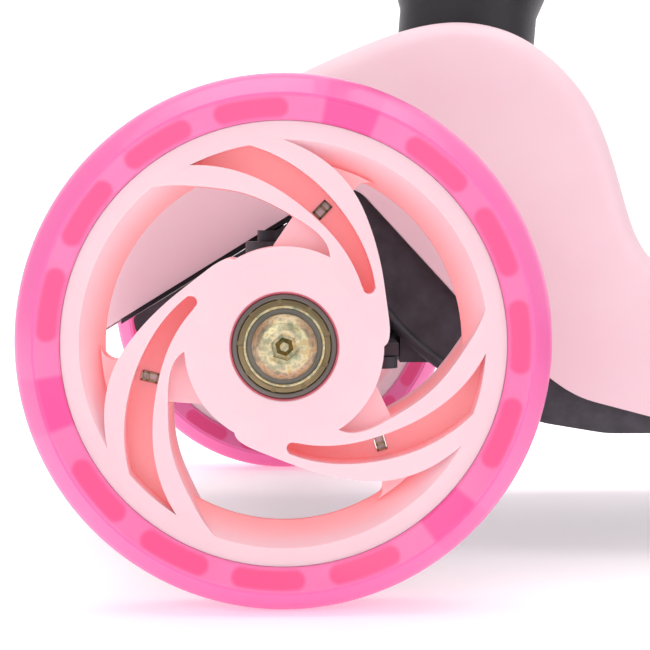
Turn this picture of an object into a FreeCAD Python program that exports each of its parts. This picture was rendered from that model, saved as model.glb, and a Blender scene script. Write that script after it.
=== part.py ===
import FreeCAD, Part

import math
import os

import Sketcher

# Three-wheeled lean-to-steer kick scooter for small children.
# Millimetres, +Z up, +X towards the tail, +Y towards the rider's right hand when facing forwards (-X).
# The origin is on the ground in the middle of the whole scooter.

V = FreeCAD.Vector
ALONG_X = V(1, 0, 0)
ALONG_Y = V(0, 1, 0)
ALONG_Z = V(0, 0, 1)
SIDES = {"left": -1, "right": 1}

doc = FreeCAD.newDocument("kick_scooter")
subparts = []

# ---------------------------------------------------------------- driving dimensions

driving = {
    "front_axle": -222.5,      # front axle line, from the origin
    "rear_axle": 235.0,
    "track": 220.0,            # between the middles of the front wheels
    "wheel_radius": 57.5,
    "crown_edge": 52.0,        # where the tyre's side turns into its tread
    "tyre_half": 10.6,
    "rim_radius": 47.0,
    "rim_lip": 43.1,
    "rim_throat": 38.3,        # narrowest ring of the rim, at mid width
    "rim_half": 8.25,
    "flange_radius": 52.4,     # tongue of the core that the tyre is cast around
    "flange_half": 3.0,
    "hub_radius": 20.8,
    "hub_half": 12.5,
    "bearing_outer": 11.0,     # 608 bearing: 22 x 8 x 7
    "bearing_bore": 4.0,
    "bearing_wide": 7.0,
    "bearing_face": 12.3,      # outer face of each bearing, from the wheel's middle
    "magnet_radius": 9.0,
    "bolt_head": 6.85,
    "kingpin_out": 76.0,       # kingpin line, from the middle of the scooter
    "kingpin_radius": 4.0,
    "barrel_radius": 9.0,
    "arm_reach": 22.0,         # kingpin to tie-rod pin
    "tie_out": 70.0,
    "tie_height": 52.0,
    "pivot_height": 78.0,      # lean pivot, above the ground
    "cover_half": 60.0,
    "cover_wall": 3.0,
    "panel_out": 56.8,
    "panel_wall": 3.0,
    "cover_end": 117.0,        # tail end of the cover, from the front axle
    "deck_top": 62.0,
    "deck_under": 31.2,
    "deck_tail": 168.0,
    "deck_half": 60.0,
    "mat_thick": 3.0,
    "post_radius": 18.9,
    "rake": 4.5,               # degrees that the column leans back
    "fold_height": 38.0,       # fold pin, up the column from its datum
    "tube_radius": 17.5,
    "tube_top": 330.0,
    "inner_radius": 15.2,
    "bar_height": 528.0,
    "bar_radius": 11.0,
    "bar_half": 146.0,
    "rear_radius": 40.0,
    "rear_half": 12.0,
    "fork_inside": 16.5,
    "fork_wall": 4.0,
}

sheet = doc.addObject("Spreadsheet::Sheet", "Sizes")
for row, (word, value) in enumerate(driving.items(), start=1):
    sheet.set(f"A{row}", word)
    sheet.set(f"B{row}", str(value))
    sheet.setAlias(f"B{row}", word)
doc.recompute()


class Size:
    """A length that keeps both its number and the spreadsheet expression it came from."""

    def __init__(self, value, text):
        self.value = float(value)
        self.text = text

    def __add__(self, other):
        return combined(self, "+", other)

    def __sub__(self, other):
        return combined(self, "-", other)

    def __mul__(self, other):
        return combined(self, "*", other)

    def __neg__(self):
        return combined(Size(0, "0"), "-", self)


def number(size):
    return size.value if isinstance(size, Size) else float(size)


def words(size):
    return size.text if isinstance(size, Size) else str(float(size))


def combined(first, sign, second):
    a, b = number(first), number(second)
    value = {"+": a + b, "-": a - b, "*": a * b}[sign]
    return Size(value, f"({words(first)} {sign} {words(second)})")


class Named:
    """Every driving dimension as a Size, by its own name."""


dim = Named()
for word, value in driving.items():
    setattr(dim, word, Size(value, f"Sizes.{word}"))


def bind(thing, prop, size):
    """Set a property, and bind it to the sheet when the size comes from there."""
    if isinstance(size, Size):
        thing.setExpression(prop, size.text)
    else:
        setattr(thing, prop, size)


def place(thing, at=(0, 0, 0), axis=ALONG_Z, angle=0.0):
    thing.Placement = FreeCAD.Placement(V(*[number(c) for c in at]), FreeCAD.Rotation(axis, angle))
    for letter, size in zip("xyz", at):
        if isinstance(size, Size):
            thing.setExpression(f"Placement.Base.{letter}", size.text)
    return thing


def finished(thing, label):
    thing.Label = label
    subparts.append(thing)
    return thing


# ---------------------------------------------------------------- Part primitives and booleans

def solid(kind, at=(0, 0, 0), axis=ALONG_Z, angle=0.0, **sizes):
    thing = doc.addObject(f"Part::{kind}", kind)
    for prop, size in sizes.items():
        bind(thing, prop, size)
    return place(thing, at, axis, angle)


def rod(radius, length, at, along="z"):
    """A cylinder that starts at a point and runs the positive way along one axis."""
    axis, angle = {"x": (ALONG_Y, 90), "y": (ALONG_X, -90), "z": (ALONG_Z, 0)}[along]
    return solid("Cylinder", at, axis, angle, Radius=radius, Height=length)


def box(low, high):
    """A box between two corners."""
    sides = [h - l if isinstance(h, Size) else (-(l - h) if isinstance(l, Size) else h - l)
             for l, h in zip(low, high)]
    return solid("Box", low, Length=sides[0], Width=sides[1], Height=sides[2])


def fuse(*things):
    whole = doc.addObject("Part::MultiFuse", "Fuse")
    whole.Shapes = list(things)
    return whole


def cut(base, *tools):
    result = doc.addObject("Part::Cut", "Cut")
    result.Base = base
    result.Tool = tools[0] if len(tools) == 1 else fuse(*tools)
    return result


def common(first, second):
    result = doc.addObject("Part::Common", "Common")
    result.Base = first
    result.Tool = second
    return result


def group(*things):
    whole = doc.addObject("Part::Compound", "Group")
    whole.Links = list(things)
    return whole


def ring(outer, inner, low, high):
    """A plain ring about the local Z axis."""
    span = high - low if isinstance(high, Size) else (-(low - high) if isinstance(low, Size) else high - low)
    return cut(rod(outer, span, (0, 0, low)), rod(inner, span, (0, 0, low)))


# ---------------------------------------------------------------- PartDesign bodies

def body(label):
    return doc.addObject("PartDesign::Body", label)


def plane(owner, role):
    return next(f for f in owner.Origin.OriginFeatures if f.Role == role)


def arc_middle(start, centre, end, radius):
    """The point half way round the short arc from start to end."""
    half = V((start[0] + end[0]) / 2 - centre[0], (start[1] + end[1]) / 2 - centre[1], 0)
    half.normalize()
    return (centre[0] + half.x * radius, centre[1] + half.y * radius)


def rounded(corners):
    """Turn (x, y, radius) corners into edges: straight runs joined by tangent arcs."""
    plain = [(number(c[0]), number(c[1])) for c in corners]
    count = len(corners)
    turns = []
    for i, corner in enumerate(corners):
        radius = number(corner[2]) if len(corner) > 2 else 0.0
        here = V(*plain[i], 0)
        if radius == 0.0:
            turns.append((plain[i], None, plain[i]))
            continue
        back = V(*plain[i - 1], 0) - here
        ahead = V(*plain[(i + 1) % count], 0) - here
        back.normalize()
        ahead.normalize()
        half_angle = back.getAngle(ahead) / 2
        reach = radius / math.tan(half_angle)
        start, end = here + back * reach, here + ahead * reach
        middle_way = back + ahead
        middle_way.normalize()
        centre = here + middle_way * (radius / math.sin(half_angle))
        middle = arc_middle((start.x, start.y), (centre.x, centre.y), (end.x, end.y), radius)
        turns.append(((start.x, start.y), middle, (end.x, end.y)))
    return turns


def flat_wire(corners, to_point):
    """A closed wire of rounded corners; to_point turns a 2-D point into a 3-D one."""
    turns = rounded(corners)
    edges = []
    for i, (start, middle, end) in enumerate(turns):
        if middle:
            edges.append(Part.Arc(to_point(*start), to_point(*middle), to_point(*end)).toShape())
        following = turns[(i + 1) % len(turns)][0]
        if (to_point(*end) - to_point(*following)).Length > 1e-6:
            edges.append(Part.LineSegment(to_point(*end), to_point(*following)).toShape())
    return Part.Wire(edges)


def sketch(owner, role, corners, name="Outline"):
    """A closed sketch. Square corners are tied to the sheet; rounded ones are held where they lie."""
    drawing = owner.newObject("Sketcher::SketchObject", name)
    drawing.AttachmentSupport = (plane(owner, role), [""])
    drawing.MapMode = "FlatFace"
    turns = rounded(corners)
    ends = []
    for i, (start, middle, end) in enumerate(turns):
        if middle:
            arc = Part.Arc(V(*start, 0), V(*middle, 0), V(*end, 0))
            held = drawing.addGeometry(arc, False)
            drawing.addConstraint(Sketcher.Constraint("Block", held))
            ends.append((1, 2) if turns_left(start, middle, end) else (2, 1))
        following = turns[(i + 1) % len(turns)][0]
        line = drawing.addGeometry(Part.LineSegment(V(*end, 0), V(*following, 0)), False)
        ends.append((1, 2))
        if middle is None:
            tie_point(drawing, line, 1, corners[i])
    for i, (_, last) in enumerate(ends):
        after = (i + 1) % len(ends)
        drawing.addConstraint(Sketcher.Constraint("Coincident", i, last, after, ends[after][0]))
    return drawing


def turns_left(start, middle, end):
    one = (middle[0] - start[0], middle[1] - start[1])
    two = (end[0] - middle[0], end[1] - middle[1])
    return one[0] * two[1] - one[1] * two[0] > 0


def tie_point(drawing, line, end, corner):
    """Hold one end of a line at its distances from the origin."""
    for kind, axis, size in (("DistanceX", -2, corner[0]), ("DistanceY", -1, corner[1])):
        if abs(number(size)) < 1e-9:
            drawing.addConstraint(Sketcher.Constraint("PointOnObject", line, end, axis))
            continue
        index = drawing.addConstraint(Sketcher.Constraint(kind, -1, 1, line, end, number(size)))
        if isinstance(size, Size):
            drawing.setExpression(f"Constraints[{index}]", size.text)


def revolved(owner, corners, kind="Revolution", name="Turned"):
    """Spin an (r, z) outline about the local Z axis, adding or cutting."""
    drawing = sketch(owner, "XZ_Plane", corners, name + "Outline")
    turn = owner.newObject(f"PartDesign::{kind}", name)
    turn.Profile = drawing
    turn.ReferenceAxis = (drawing, ["V_Axis"])
    turn.Angle = 360
    return turn


def padded(owner, role, corners, length, kind="Pad", name="Raised"):
    """Push an outline both ways from its plane, adding or cutting."""
    drawing = sketch(owner, role, corners, name + "Outline")
    push = owner.newObject(f"PartDesign::{kind}", name)
    push.Profile = drawing
    push.SideType = "Symmetric"
    bind(push, "Length", length)
    return push


def polar(owner, feature, count, name="Around"):
    pattern = owner.newObject("PartDesign::PolarPattern", name)
    pattern.Originals = [feature]
    pattern.Axis = (plane(owner, "Z_Axis"), [""])
    pattern.Angle = 360
    pattern.Occurrences = count
    owner.Tip = pattern
    return pattern


def rounded_edges(owner, radius, choose, name="Softened"):
    """Fillet the edges of the body's last feature that choose() picks."""
    doc.recompute()
    last = owner.Tip
    names = [f"Edge{i}" for i, edge in enumerate(last.Shape.Edges, start=1) if choose(edge)]
    soft = owner.newObject("PartDesign::Fillet", name)
    soft.Base = (last, names)
    soft.Radius = radius
    return soft


def shaped(label, shape, at=(0, 0, 0), axis=ALONG_Z, angle=0.0):
    """A sub-part whose form is worked out here, because no feature gives it."""
    thing = doc.addObject("Part::Feature", label)
    thing.Shape = shape if shape.Placement.isIdentity() else Part.makeCompound([shape])
    return place(thing, at, axis, angle)


def polar_point(radius, degrees):
    turn = math.radians(degrees)
    return (radius * math.cos(turn), radius * math.sin(turn))


# ---------------------------------------------------------------- front wheels

ARM_FIRST = 74.0         # middle of the first lamp, degrees round from the tail side
ARM_TURN = 120.0
WINDOW_PITCH = 24.0
arm_edge = ((0, 18.0), (0, 20.8), (20, 22.9), (40, 26.3), (54, 30.6), (66, 35.4), (79, 39.9), (88.5, 42.6), (95, 44.4))
arm_tail = ((134, 44.4), (128, 42.2), (118, 37.7), (104, 32.7), (86, 27.1), (66, 22.4), (60, 18.0))
slot_edge = ((32, 22.5), (50, 26.2), (66, 30.4), (84, 36.6), (99.8, 42.5))
slot_tail = ((117.6, 42.5), (98, 34.9), (80, 28.5), (60, 23.9), (37, 20.3))
SLOT_END = (21.4, 34.5, 1.25)     # round inner end of a slot: radius out, degrees round, radius of the end


def spiral_wire(first, second, height):
    """A closed wire between two smooth spiral edges, at one height."""
    rows = []
    for edge in (first, second):
        points = [V(*polar_point(radius, degrees), height) for degrees, radius in edge]
        curve = Part.BSplineCurve()
        curve.interpolate(points)
        rows.append((curve.toShape(), points))
    (one, a), (two, b) = rows
    outer, half_way = first[-1][1], (first[-1][0] + second[0][0]) / 2
    rim_arc = Part.Arc(a[-1], V(*polar_point(outer, half_way), height), b[0])
    return Part.Wire([one, rim_arc.toShape(), two, Part.LineSegment(b[-1], a[0]).toShape()])


def prism(wire, direction):
    return Part.Face(wire).extrude(direction)


def spun(shape, degrees):
    turned = shape.copy()
    turned.rotate(V(0, 0, 0), ALONG_Z, degrees)
    return turned


def wheel_core_shape():
    """Rim, hub and three swept arms, cored from both sides."""
    half, hub_half = driving["rim_half"], driving["hub_half"]
    lip, throat = driving["rim_lip"], driving["rim_throat"]
    outer, flange = driving["rim_radius"], driving["flange_radius"]
    tongue, face = driving["flange_half"], 3.0
    seat = driving["bearing_face"] - driving["bearing_wide"]
    rim = turned_shape([(throat, 0.8), (lip, half), (outer, half), (outer - 1, tongue), (flange, tongue),
                        (flange, -tongue), (outer - 1, -tongue), (outer, -half), (lip, -half), (throat, -0.8)])
    hub = Part.makeCylinder(driving["hub_radius"], 2 * hub_half, V(0, 0, -hub_half))
    arm = prism(spiral_wire(arm_edge, arm_tail, -hub_half), V(0, 0, 2 * hub_half))
    web = prism(flat_wire([(*polar_point(19, 60), 0), (*polar_point(23.0, 62), 0), (*polar_point(28.0, 85), 0),
                           (*polar_point(21.2, 96), 0), (*polar_point(19, 98), 0)],
                          lambda x, y: V(x, y, -7.5)), V(0, 0, 15.0))
    slots = []
    end_out, end_turn, end_radius = SLOT_END
    for low in (1.5, -21.5):
        slots.append(prism(spiral_wire(slot_edge, slot_tail, low), V(0, 0, 20)))
        slots.append(Part.makeCylinder(end_radius, 20, V(*polar_point(end_out, end_turn), low)))
    slots.append(clip_shape(4.0, 2.4, 2 * face))
    whole = rim.fuse([hub] + [spun(piece, ARM_TURN * k) for piece in (arm, web) for k in range(3)])
    # The face falls away in a shallow cone from the hub to the rim.
    cone = turned_shape([(17.5, hub_half), (lip, half), (outer + 1, half), (outer + 1, hub_half + 2),
                         (17.5, hub_half + 2)])
    under = cone.mirror(V(0, 0, 0), ALONG_Z)
    bore = Part.makeCylinder(9.5, 30, V(0, 0, -15))
    seats = [Part.makeCylinder(driving["bearing_outer"], 10, V(0, 0, seat)),
             Part.makeCylinder(driving["bearing_outer"], 10, V(0, 0, -seat - 10)),
             Part.makeCone(driving["bearing_outer"], driving["bearing_outer"] + 0.8, 0.8, V(0, 0, hub_half - 0.6)),
             Part.makeCone(driving["bearing_outer"] + 0.8, driving["bearing_outer"], 0.8, V(0, 0, -hub_half - 0.2))]
    windows = [spun(window_shape(9.0), ARM_FIRST + WINDOW_PITCH * k) for k in range(15)]
    tools = [cone, under, bore] + seats + windows
    tools += [spun(piece, ARM_TURN * k) for piece in slots for k in range(3)]
    return whole.cut(tools).removeSplitter()


def clip_shape(long, wide, deep):
    """A small block across the middle of the arm, set askew as the lamp's clip is."""
    block = Part.makeBox(long, wide, deep, V(-long / 2, -wide / 2, -deep / 2))
    block.rotate(V(0, 0, 0), ALONG_Z, ARM_FIRST - 28.0)
    block.translate(V(*polar_point(29.6, ARM_FIRST), 0))
    return block


def window_shape(half_turn):
    """One pill-shaped window through the tongue, centred on the X axis."""
    inner, outer = 47.6, 51.7
    a, b = polar_point(outer, half_turn), polar_point(inner, half_turn)
    wire = Part.Wire([
        Part.Arc(V(a[0], -a[1], 0), V(outer, 0, 0), V(*a, 0)).toShape(),
        Part.Arc(V(*a, 0), V(*polar_point((inner + outer) / 2, half_turn + 1.8), 0), V(*b, 0)).toShape(),
        Part.Arc(V(*b, 0), V(inner, 0, 0), V(b[0], -b[1], 0)).toShape(),
        Part.Arc(V(b[0], -b[1], 0), V(*polar_point((inner + outer) / 2, -half_turn - 1.8), 0),
                 V(a[0], -a[1], 0)).toShape()])
    wire.translate(V(0, 0, -5))
    return prism(wire, V(0, 0, 10))


def turned_shape(corners):
    wire = flat_wire(corners, lambda r, z: V(r, 0, z))
    return Part.Face(wire).revolve(V(0, 0, 0), ALONG_Z, 360)


def wheel_place(thing, side):
    """Stand a wheel-frame object on its axle, outer face outwards."""
    return place(thing, (dim.front_axle, dim.track * 0.5 * side, dim.wheel_radius), ALONG_X, -90 * side)


def bearing_pair(face, label_outer, label_inner):
    """Two shielded ball bearings: what turns with the wheel, and what stays on the axle."""
    outer, inner = [], []
    ball_ring, ball = 7.5, 1.95
    for way in (-1, 1):
        low = face * way - dim.bearing_wide if way == 1 else -face
        middle = face * way - dim.bearing_wide * 0.5 * way
        groove = solid("Torus", (0, 0, middle), Radius1=ball_ring, Radius2=ball + 0.08)
        outer.append(cut(ring(dim.bearing_outer, 9.2, low, low + dim.bearing_wide), groove))
        groove = solid("Torus", (0, 0, middle), Radius1=ball_ring, Radius2=ball + 0.08)
        inner.append(cut(ring(5.9, dim.bearing_bore, low, low + dim.bearing_wide), groove))
        for shield in (-3.2, 2.8):
            outer.append(ring(9.2, 6.1, middle + shield, middle + (shield + 0.4)))
        for k in range(7):
            x, y = polar_point(ball_ring, k * 360 / 7)
            outer.append(solid("Sphere", (x, y, middle), Radius=ball))
    return finished(group(*outer), label_outer), finished(group(*inner), label_inner)


def front_wheel(name, side):
    core_shape = wheel_core_shape()
    core = finished(shaped("wheel_core_" + name, core_shape), "wheel_core_" + name)
    wheel_place(core, side)

    lamps = []
    for k in range(3):
        turn = ARM_FIRST + ARM_TURN * k
        block = Part.makeBox(3.3, 10.4, 4.4, V(47.9, -5.2, -2.2))
        lamps += [spun(block, turn), spun(clip_shape(3.6, 2.0, 2.4), turn - ARM_FIRST)]
    lamp = finished(shaped("led_modules_" + name, Part.makeCompound(lamps)), "led_modules_" + name)
    wheel_place(lamp, side)

    blank = body("tyre_blank_" + name)
    revolved(blank, [
        (dim.rim_radius - 1, 0), (dim.rim_radius - 1, dim.flange_half), (dim.rim_radius, dim.rim_half),
        (dim.rim_radius + 0.4, dim.rim_half + 0.9), (dim.crown_edge, dim.tyre_half, 2.5),
        (dim.wheel_radius, 4.0, 9.0), (dim.wheel_radius, -4.0, 9.0), (dim.crown_edge, -dim.tyre_half, 2.5),
        (dim.rim_radius + 0.4, -dim.rim_half - 0.9), (dim.rim_radius, -dim.rim_half),
        (dim.rim_radius - 1, -dim.flange_half)])
    mould = shaped("core_mould_" + name, core_shape.fuse([lamps[0], lamps[2], lamps[4]]))
    tyre = finished(cut(blank, mould), "tyre_" + name)
    wheel_place(tyre, side)

    outer, inner = bearing_pair(dim.bearing_face, "bearing_outer_" + name, "bearing_inner_" + name)
    wheel_place(outer, side)
    wheel_place(inner, side)

    seat = dim.bearing_face - dim.bearing_wide
    sleeve = finished(ring(6.0, dim.bearing_bore, -seat, seat), "axle_sleeve_" + name)
    wheel_place(sleeve, side)
    magnet = finished(ring(dim.magnet_radius, 6.0, -seat + 0.8, seat - 0.8), "magnet_ring_" + name)
    wheel_place(magnet, side)

    bolt_body = body("bolt_blank_" + name)
    top = dim.bearing_face + 3.4
    revolved(bolt_body, [
        (0, -27.0), (dim.bearing_bore - 0.6, -27.0), (dim.bearing_bore - 0.03, -26.0),
        (dim.bearing_bore - 0.03, dim.bearing_face), (dim.bolt_head, dim.bearing_face),
        (dim.bolt_head, dim.bearing_face + 1.1, 0.8), (5.0, top - 0.5, 3.0), (3.6, top, 0.8), (0, top)])
    socket = solid("Prism", (0, 0, dim.bearing_face + 0.8), Polygon=6, Circumradius=2.9, Height=6.0)
    bolt = finished(cut(bolt_body, socket), "wheel_bolt_" + name)
    wheel_place(bolt, side)


# ---------------------------------------------------------------- steering knuckles, beam and tie rod

BARREL_LOW, BARREL_HIGH = 41.7, 70.7
EAR_LOW, EAR_HIGH = 32.5, 79.0


def front_place(thing):
    """The front group is laid out from the ground under the front axle."""
    return place(thing, (dim.front_axle, 0, 0))


def knuckle(name, side):
    pin_y = dim.kingpin_out * side
    barrel = rod(dim.barrel_radius, BARREL_HIGH - BARREL_LOW, (0, pin_y, BARREL_LOW))
    face_y = dim.track * 0.5 - dim.bearing_face
    boss_low = dim.kingpin_out if side == 1 else -face_y + 4.0
    boss = rod(8.5, face_y - dim.kingpin_out - 4.0, (0, boss_low, dim.wheel_radius), "y")
    nose_low = face_y - 4.0 if side == 1 else -face_y
    nose = rod(5.9, 4.0, (0, nose_low, dim.wheel_radius), "y")
    arm_body = body("arm_blank_" + name)
    padded(arm_body, "XY_Plane", [(0, 70 * side, 0), (dim.arm_reach + 5, 65 * side, 4.5),
                                  (dim.arm_reach + 5, 75 * side, 4.5), (0, 84 * side, 0)], 6.0)
    place(arm_body, (0, 0, dim.tie_height))
    lap = box((dim.arm_reach - 7, 60 * side - (0 if side == 1 else 20), dim.tie_height - 0.2),
              (dim.arm_reach + 8, 60 * side + (20 if side == 1 else 0), dim.tie_height + 5))
    pin = rod(2.0, 5.0, (dim.arm_reach, dim.tie_out * side, dim.tie_height - 0.4))
    whole = fuse(cut(fuse(barrel, boss, nose, arm_body), lap), pin)
    bore = rod(dim.kingpin_radius + 0.06, 50.0, (0, pin_y, 30.0))
    axle_low = dim.kingpin_out + dim.kingpin_radius if side == 1 else -face_y - 1
    axle = rod(dim.bearing_bore, face_y - dim.kingpin_out - dim.kingpin_radius + 1,
               (0, axle_low, dim.wheel_radius), "y")
    front_place(finished(cut(whole, bore, axle), "knuckle_" + name))


def axle_beam():
    """Cross beam with an ear above and below each steering barrel."""
    bar = body("beam_blank")
    padded(bar, "XZ_Plane", [(-12, 58, 3), (12, 58, 3), (12, 78, 4), (-2, 78, 4), (-12, 72, 4)], 127.0)
    pieces = [bar]
    for side in SIDES.values():
        end = body("beam_end")
        padded(end, "XZ_Plane", [(-9, EAR_LOW, 3), (9, EAR_LOW, 3), (10, 60, 0), (12.5, 66, 0), (12.5, 84, 4),
                                 (2, 84, 4), (-36.5, 60.6, 1.5), (-35.5, 55.5, 3), (-14, 58, 6), (-10, 50, 4)], 5.5)
        place(end, (0, 60.75 * side, 0))
        pieces.append(end)
        for low, high in ((EAR_LOW, BARREL_LOW - 0.3), (BARREL_HIGH + 0.3, EAR_HIGH)):
            ear = body("ear")
            padded(ear, "XY_Plane", [(-9, 62 * side, 0), (9, 62 * side, 0), (9, 85 * side, 8.5),
                                     (-9, 85 * side, 8.5)], high - low)
            pieces.append(place(ear, (0, 0, (low + high) / 2)))
    holes = [rod(dim.kingpin_radius, 70.0, (0, dim.kingpin_out * side, 20.0)) for side in SIDES.values()]
    holes += [rod(2.1, 40.0, (x, y, 50.0)) for x in (-5.0, 6.0) for y in (-30.0, 30.0)]
    front_place(finished(cut(fuse(*pieces), *holes), "axle_beam"))

    pins, bolts = [], []
    for side in SIDES.values():
        y = dim.kingpin_out * side
        shank = rod(dim.kingpin_radius - 0.01, EAR_HIGH - EAR_LOW + 1.5, (0, y, EAR_LOW - 1.5))
        head = rod(6.2, 2.6, (0, y, EAR_HIGH))
        foot = cut(rod(5.6, 1.2, (0, y, EAR_LOW - 1.2)), rod(dim.kingpin_radius, 3.0, (0, y, EAR_LOW - 2)))
        pins += [fuse(shank, head), foot]
    front_place(finished(group(*pins), "kingpins"))
    for x in (-5.0, 6.0):
        for y in (-30.0, 30.0):
            bolts.append(fuse(rod(2.0, 29.0, (x, y, 57.0)), rod(4.0, 2.8, (x, y, 55.2))))
    front_place(finished(group(*bolts), "beam_bolts"))


def tie_rod():
    """Flat link that turns both knuckles; the post's ball works in its middle fork."""
    x, height = dim.arm_reach, dim.tie_height
    bar = box((x - 5, -dim.tie_out - 5.5, height - 3), (x + 5, dim.tie_out + 5.5, height + 3))
    middle = box((x - 8, -11.0, height - 6), (x + 6, 11.0, height + 5.5))
    tools = []
    for side in SIDES.values():
        low = -dim.tie_out - 7.0 if side == -1 else dim.tie_out - 8.5
        tools.append(box((x - 7, low, height - 4), (x + 7, low + 15.5, height + 0.1)))
        for along in (-1.7, 0.8):
            tools.append(rod(2.3, 10.0, (x + along, dim.tie_out * side, height - 2)))
        pin_y = dim.tie_out * side
        tools.append(box((x - 1.7, pin_y - 2.3, height - 2), (x + 0.8, pin_y + 2.3, height + 8)))
    tools.append(box((x - 5, -4.2, height - 8), (x + 10, 4.2, height + 8)))
    front_place(finished(cut(fuse(bar, middle), *tools), "tie_rod"))


# ---------------------------------------------------------------- cover and frame

# Side outline of the cover from the nose's foot over the top to the deck: (x, z, shoulder radius).
cover_outline = (
    (-52.5, 46.0, 16), (-55.2, 58.0, 17), (-53.2, 75.0, 17), (-43.5, 91.5, 15), (-24.0, 105.0, 10),
    (4.0, 119.7, 7), (22.0, 127.6, 6), (41.0, 132.3, 6), (56.0, 129.8, 6), (67.0, 122.6, 6),
    (74.5, 114.0, 6), (79.4, 104.0, 6), (84.4, 88.0, 6), (90.0, 75.6, 6), (101.0, 68.4, 6), (117.0, 66.2, 6))
# Lower edge of the cover's cheeks: an arch over the axle that runs down to the deck.
arch = ((-80.0, 5.0, 0), (-80.0, 35.2, 0), (15.75, 94.25, 8), (52.0, 54.9, 40), (72.0, 40.6, 26),
        (92.0, 35.2, 40), (130.0, 33.0, 0), (130.0, 5.0, 0))
panel = ((-40.0, 58.6, 0), (6.0, 87.0, 4), (13.0, 81.0, 4), (13.0, 71.4, 3), (41.0, 47.0, 0), (52.5, 38.4, 8),
         (64.0, 33.9, 20), (80.0, 31.2, 30), (117.0, 31.2, 0), (117.0, 60.8, 0), (97.0, 62.5, 8), (83.0, 74.0, 10),
         (75.0, 100.0, 14), (60.0, 118.5, 12), (34.0, 120.0, 20), (-14.0, 95.0, 10), (-34.0, 77.0, 10),
         (-40.0, 66.0, 4))
PANEL_FLOOR = 9          # the first points of the panel are its lower edge
SCREWS_AT = ((58.0, 70.0), (104.0, 44.0))


def outline_normals(points):
    """Outward unit normals of an open outline that runs over the top from left to right."""
    normals = []
    for i, point in enumerate(points):
        before, after = points[max(i - 1, 0)], points[min(i + 1, len(points) - 1)]
        way = V(after[0] - before[0], after[1] - before[1], 0)
        way.normalize()
        normals.append((-way.y, way.x))
    return normals


def cover_section(across, inset, crown, floor):
    """The cover's side outline at one distance from the middle, drawn in by its shoulder."""
    half = driving["cover_half"] - inset
    depth = half - abs(across)
    swell = crown * (1 - (across / half) ** 2)
    points = []
    for (x, z, radius), (nx, nz) in zip(cover_outline, outline_normals(cover_outline)):
        round_by = max(radius - inset, 2.5)
        pull = round_by - math.sqrt(max(round_by ** 2 - max(round_by - depth, 0.0) ** 2, 0.0))
        move = swell - inset - pull
        points.append(V(x + nx * move, across, z + nz * move))
    curve = Part.BSplineCurve()
    curve.interpolate(points)
    first, last = points[0], points[-1]
    low_first, low_last = V(first.x, across, floor), V(last.x, across, floor)
    return Part.Wire([curve.toShape(), Part.LineSegment(last, low_last).toShape(),
                      Part.LineSegment(low_last, low_first).toShape(),
                      Part.LineSegment(low_first, first).toShape()])


COVER_CROWN = 2.0        # how much higher the cover stands along its middle


def cover_blank(inset, floor):
    half = driving["cover_half"] - inset
    depths = (0.0, 0.3, 1.1, 2.4, 4.2, 6.5, 10.0, 15.0, 24.0, 40.0)
    places = [-half + d for d in depths] + [0.0] + [half - d for d in reversed(depths)]
    return Part.makeLoft([cover_section(y, inset, COVER_CROWN, floor) for y in places], True, False)


def across_prism(corners, low, high):
    wire = flat_wire(corners, lambda x, z: V(x, low, z))
    return Part.Face(wire).extrude(V(0, high - low, 0))


def front_cover():
    wall = driving["cover_wall"]
    opening = Part.makeBox(45.0, 60.0, 60.0, V(28.0, -30.0, 96.0))
    opening = opening.makeFillet(12.0, [e for e in opening.Edges if abs(e.tangentAt(0).z) > 0.9])
    shell = cover_blank(0.0, 20.0).cut([cover_blank(wall, 0.0), across_prism(arch, -80, 80), opening])
    tail = Part.makeBox(20, 200, 100, V(driving["cover_end"] - 1.1, -100, 20))
    screw_holes = [Part.makeCylinder(1.7, 10, V(x, y, z), V(0, -y, 0)) for x, z in SCREWS_AT for y in (-62, 62)]
    shell = shell.cut(tail).cut(screw_holes)
    front_place(finished(shaped("front_cover", max(shell.Solids, key=lambda s: s.Volume)), "front_cover"))

    screws = []
    for x, z in SCREWS_AT:
        for side in SIDES.values():
            shank = Part.makeCylinder(1.5, 8.0, V(x, 60.2 * side, z), V(0, -side, 0))
            head = Part.makeCone(2.6, 3.2, 1.2, V(x, 61.2 * side, z), V(0, -side, 0))
            screws.append(shank.fuse(head))
    front_place(finished(shaped("cover_screws", Part.makeCompound(screws)), "cover_screws"))


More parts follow.
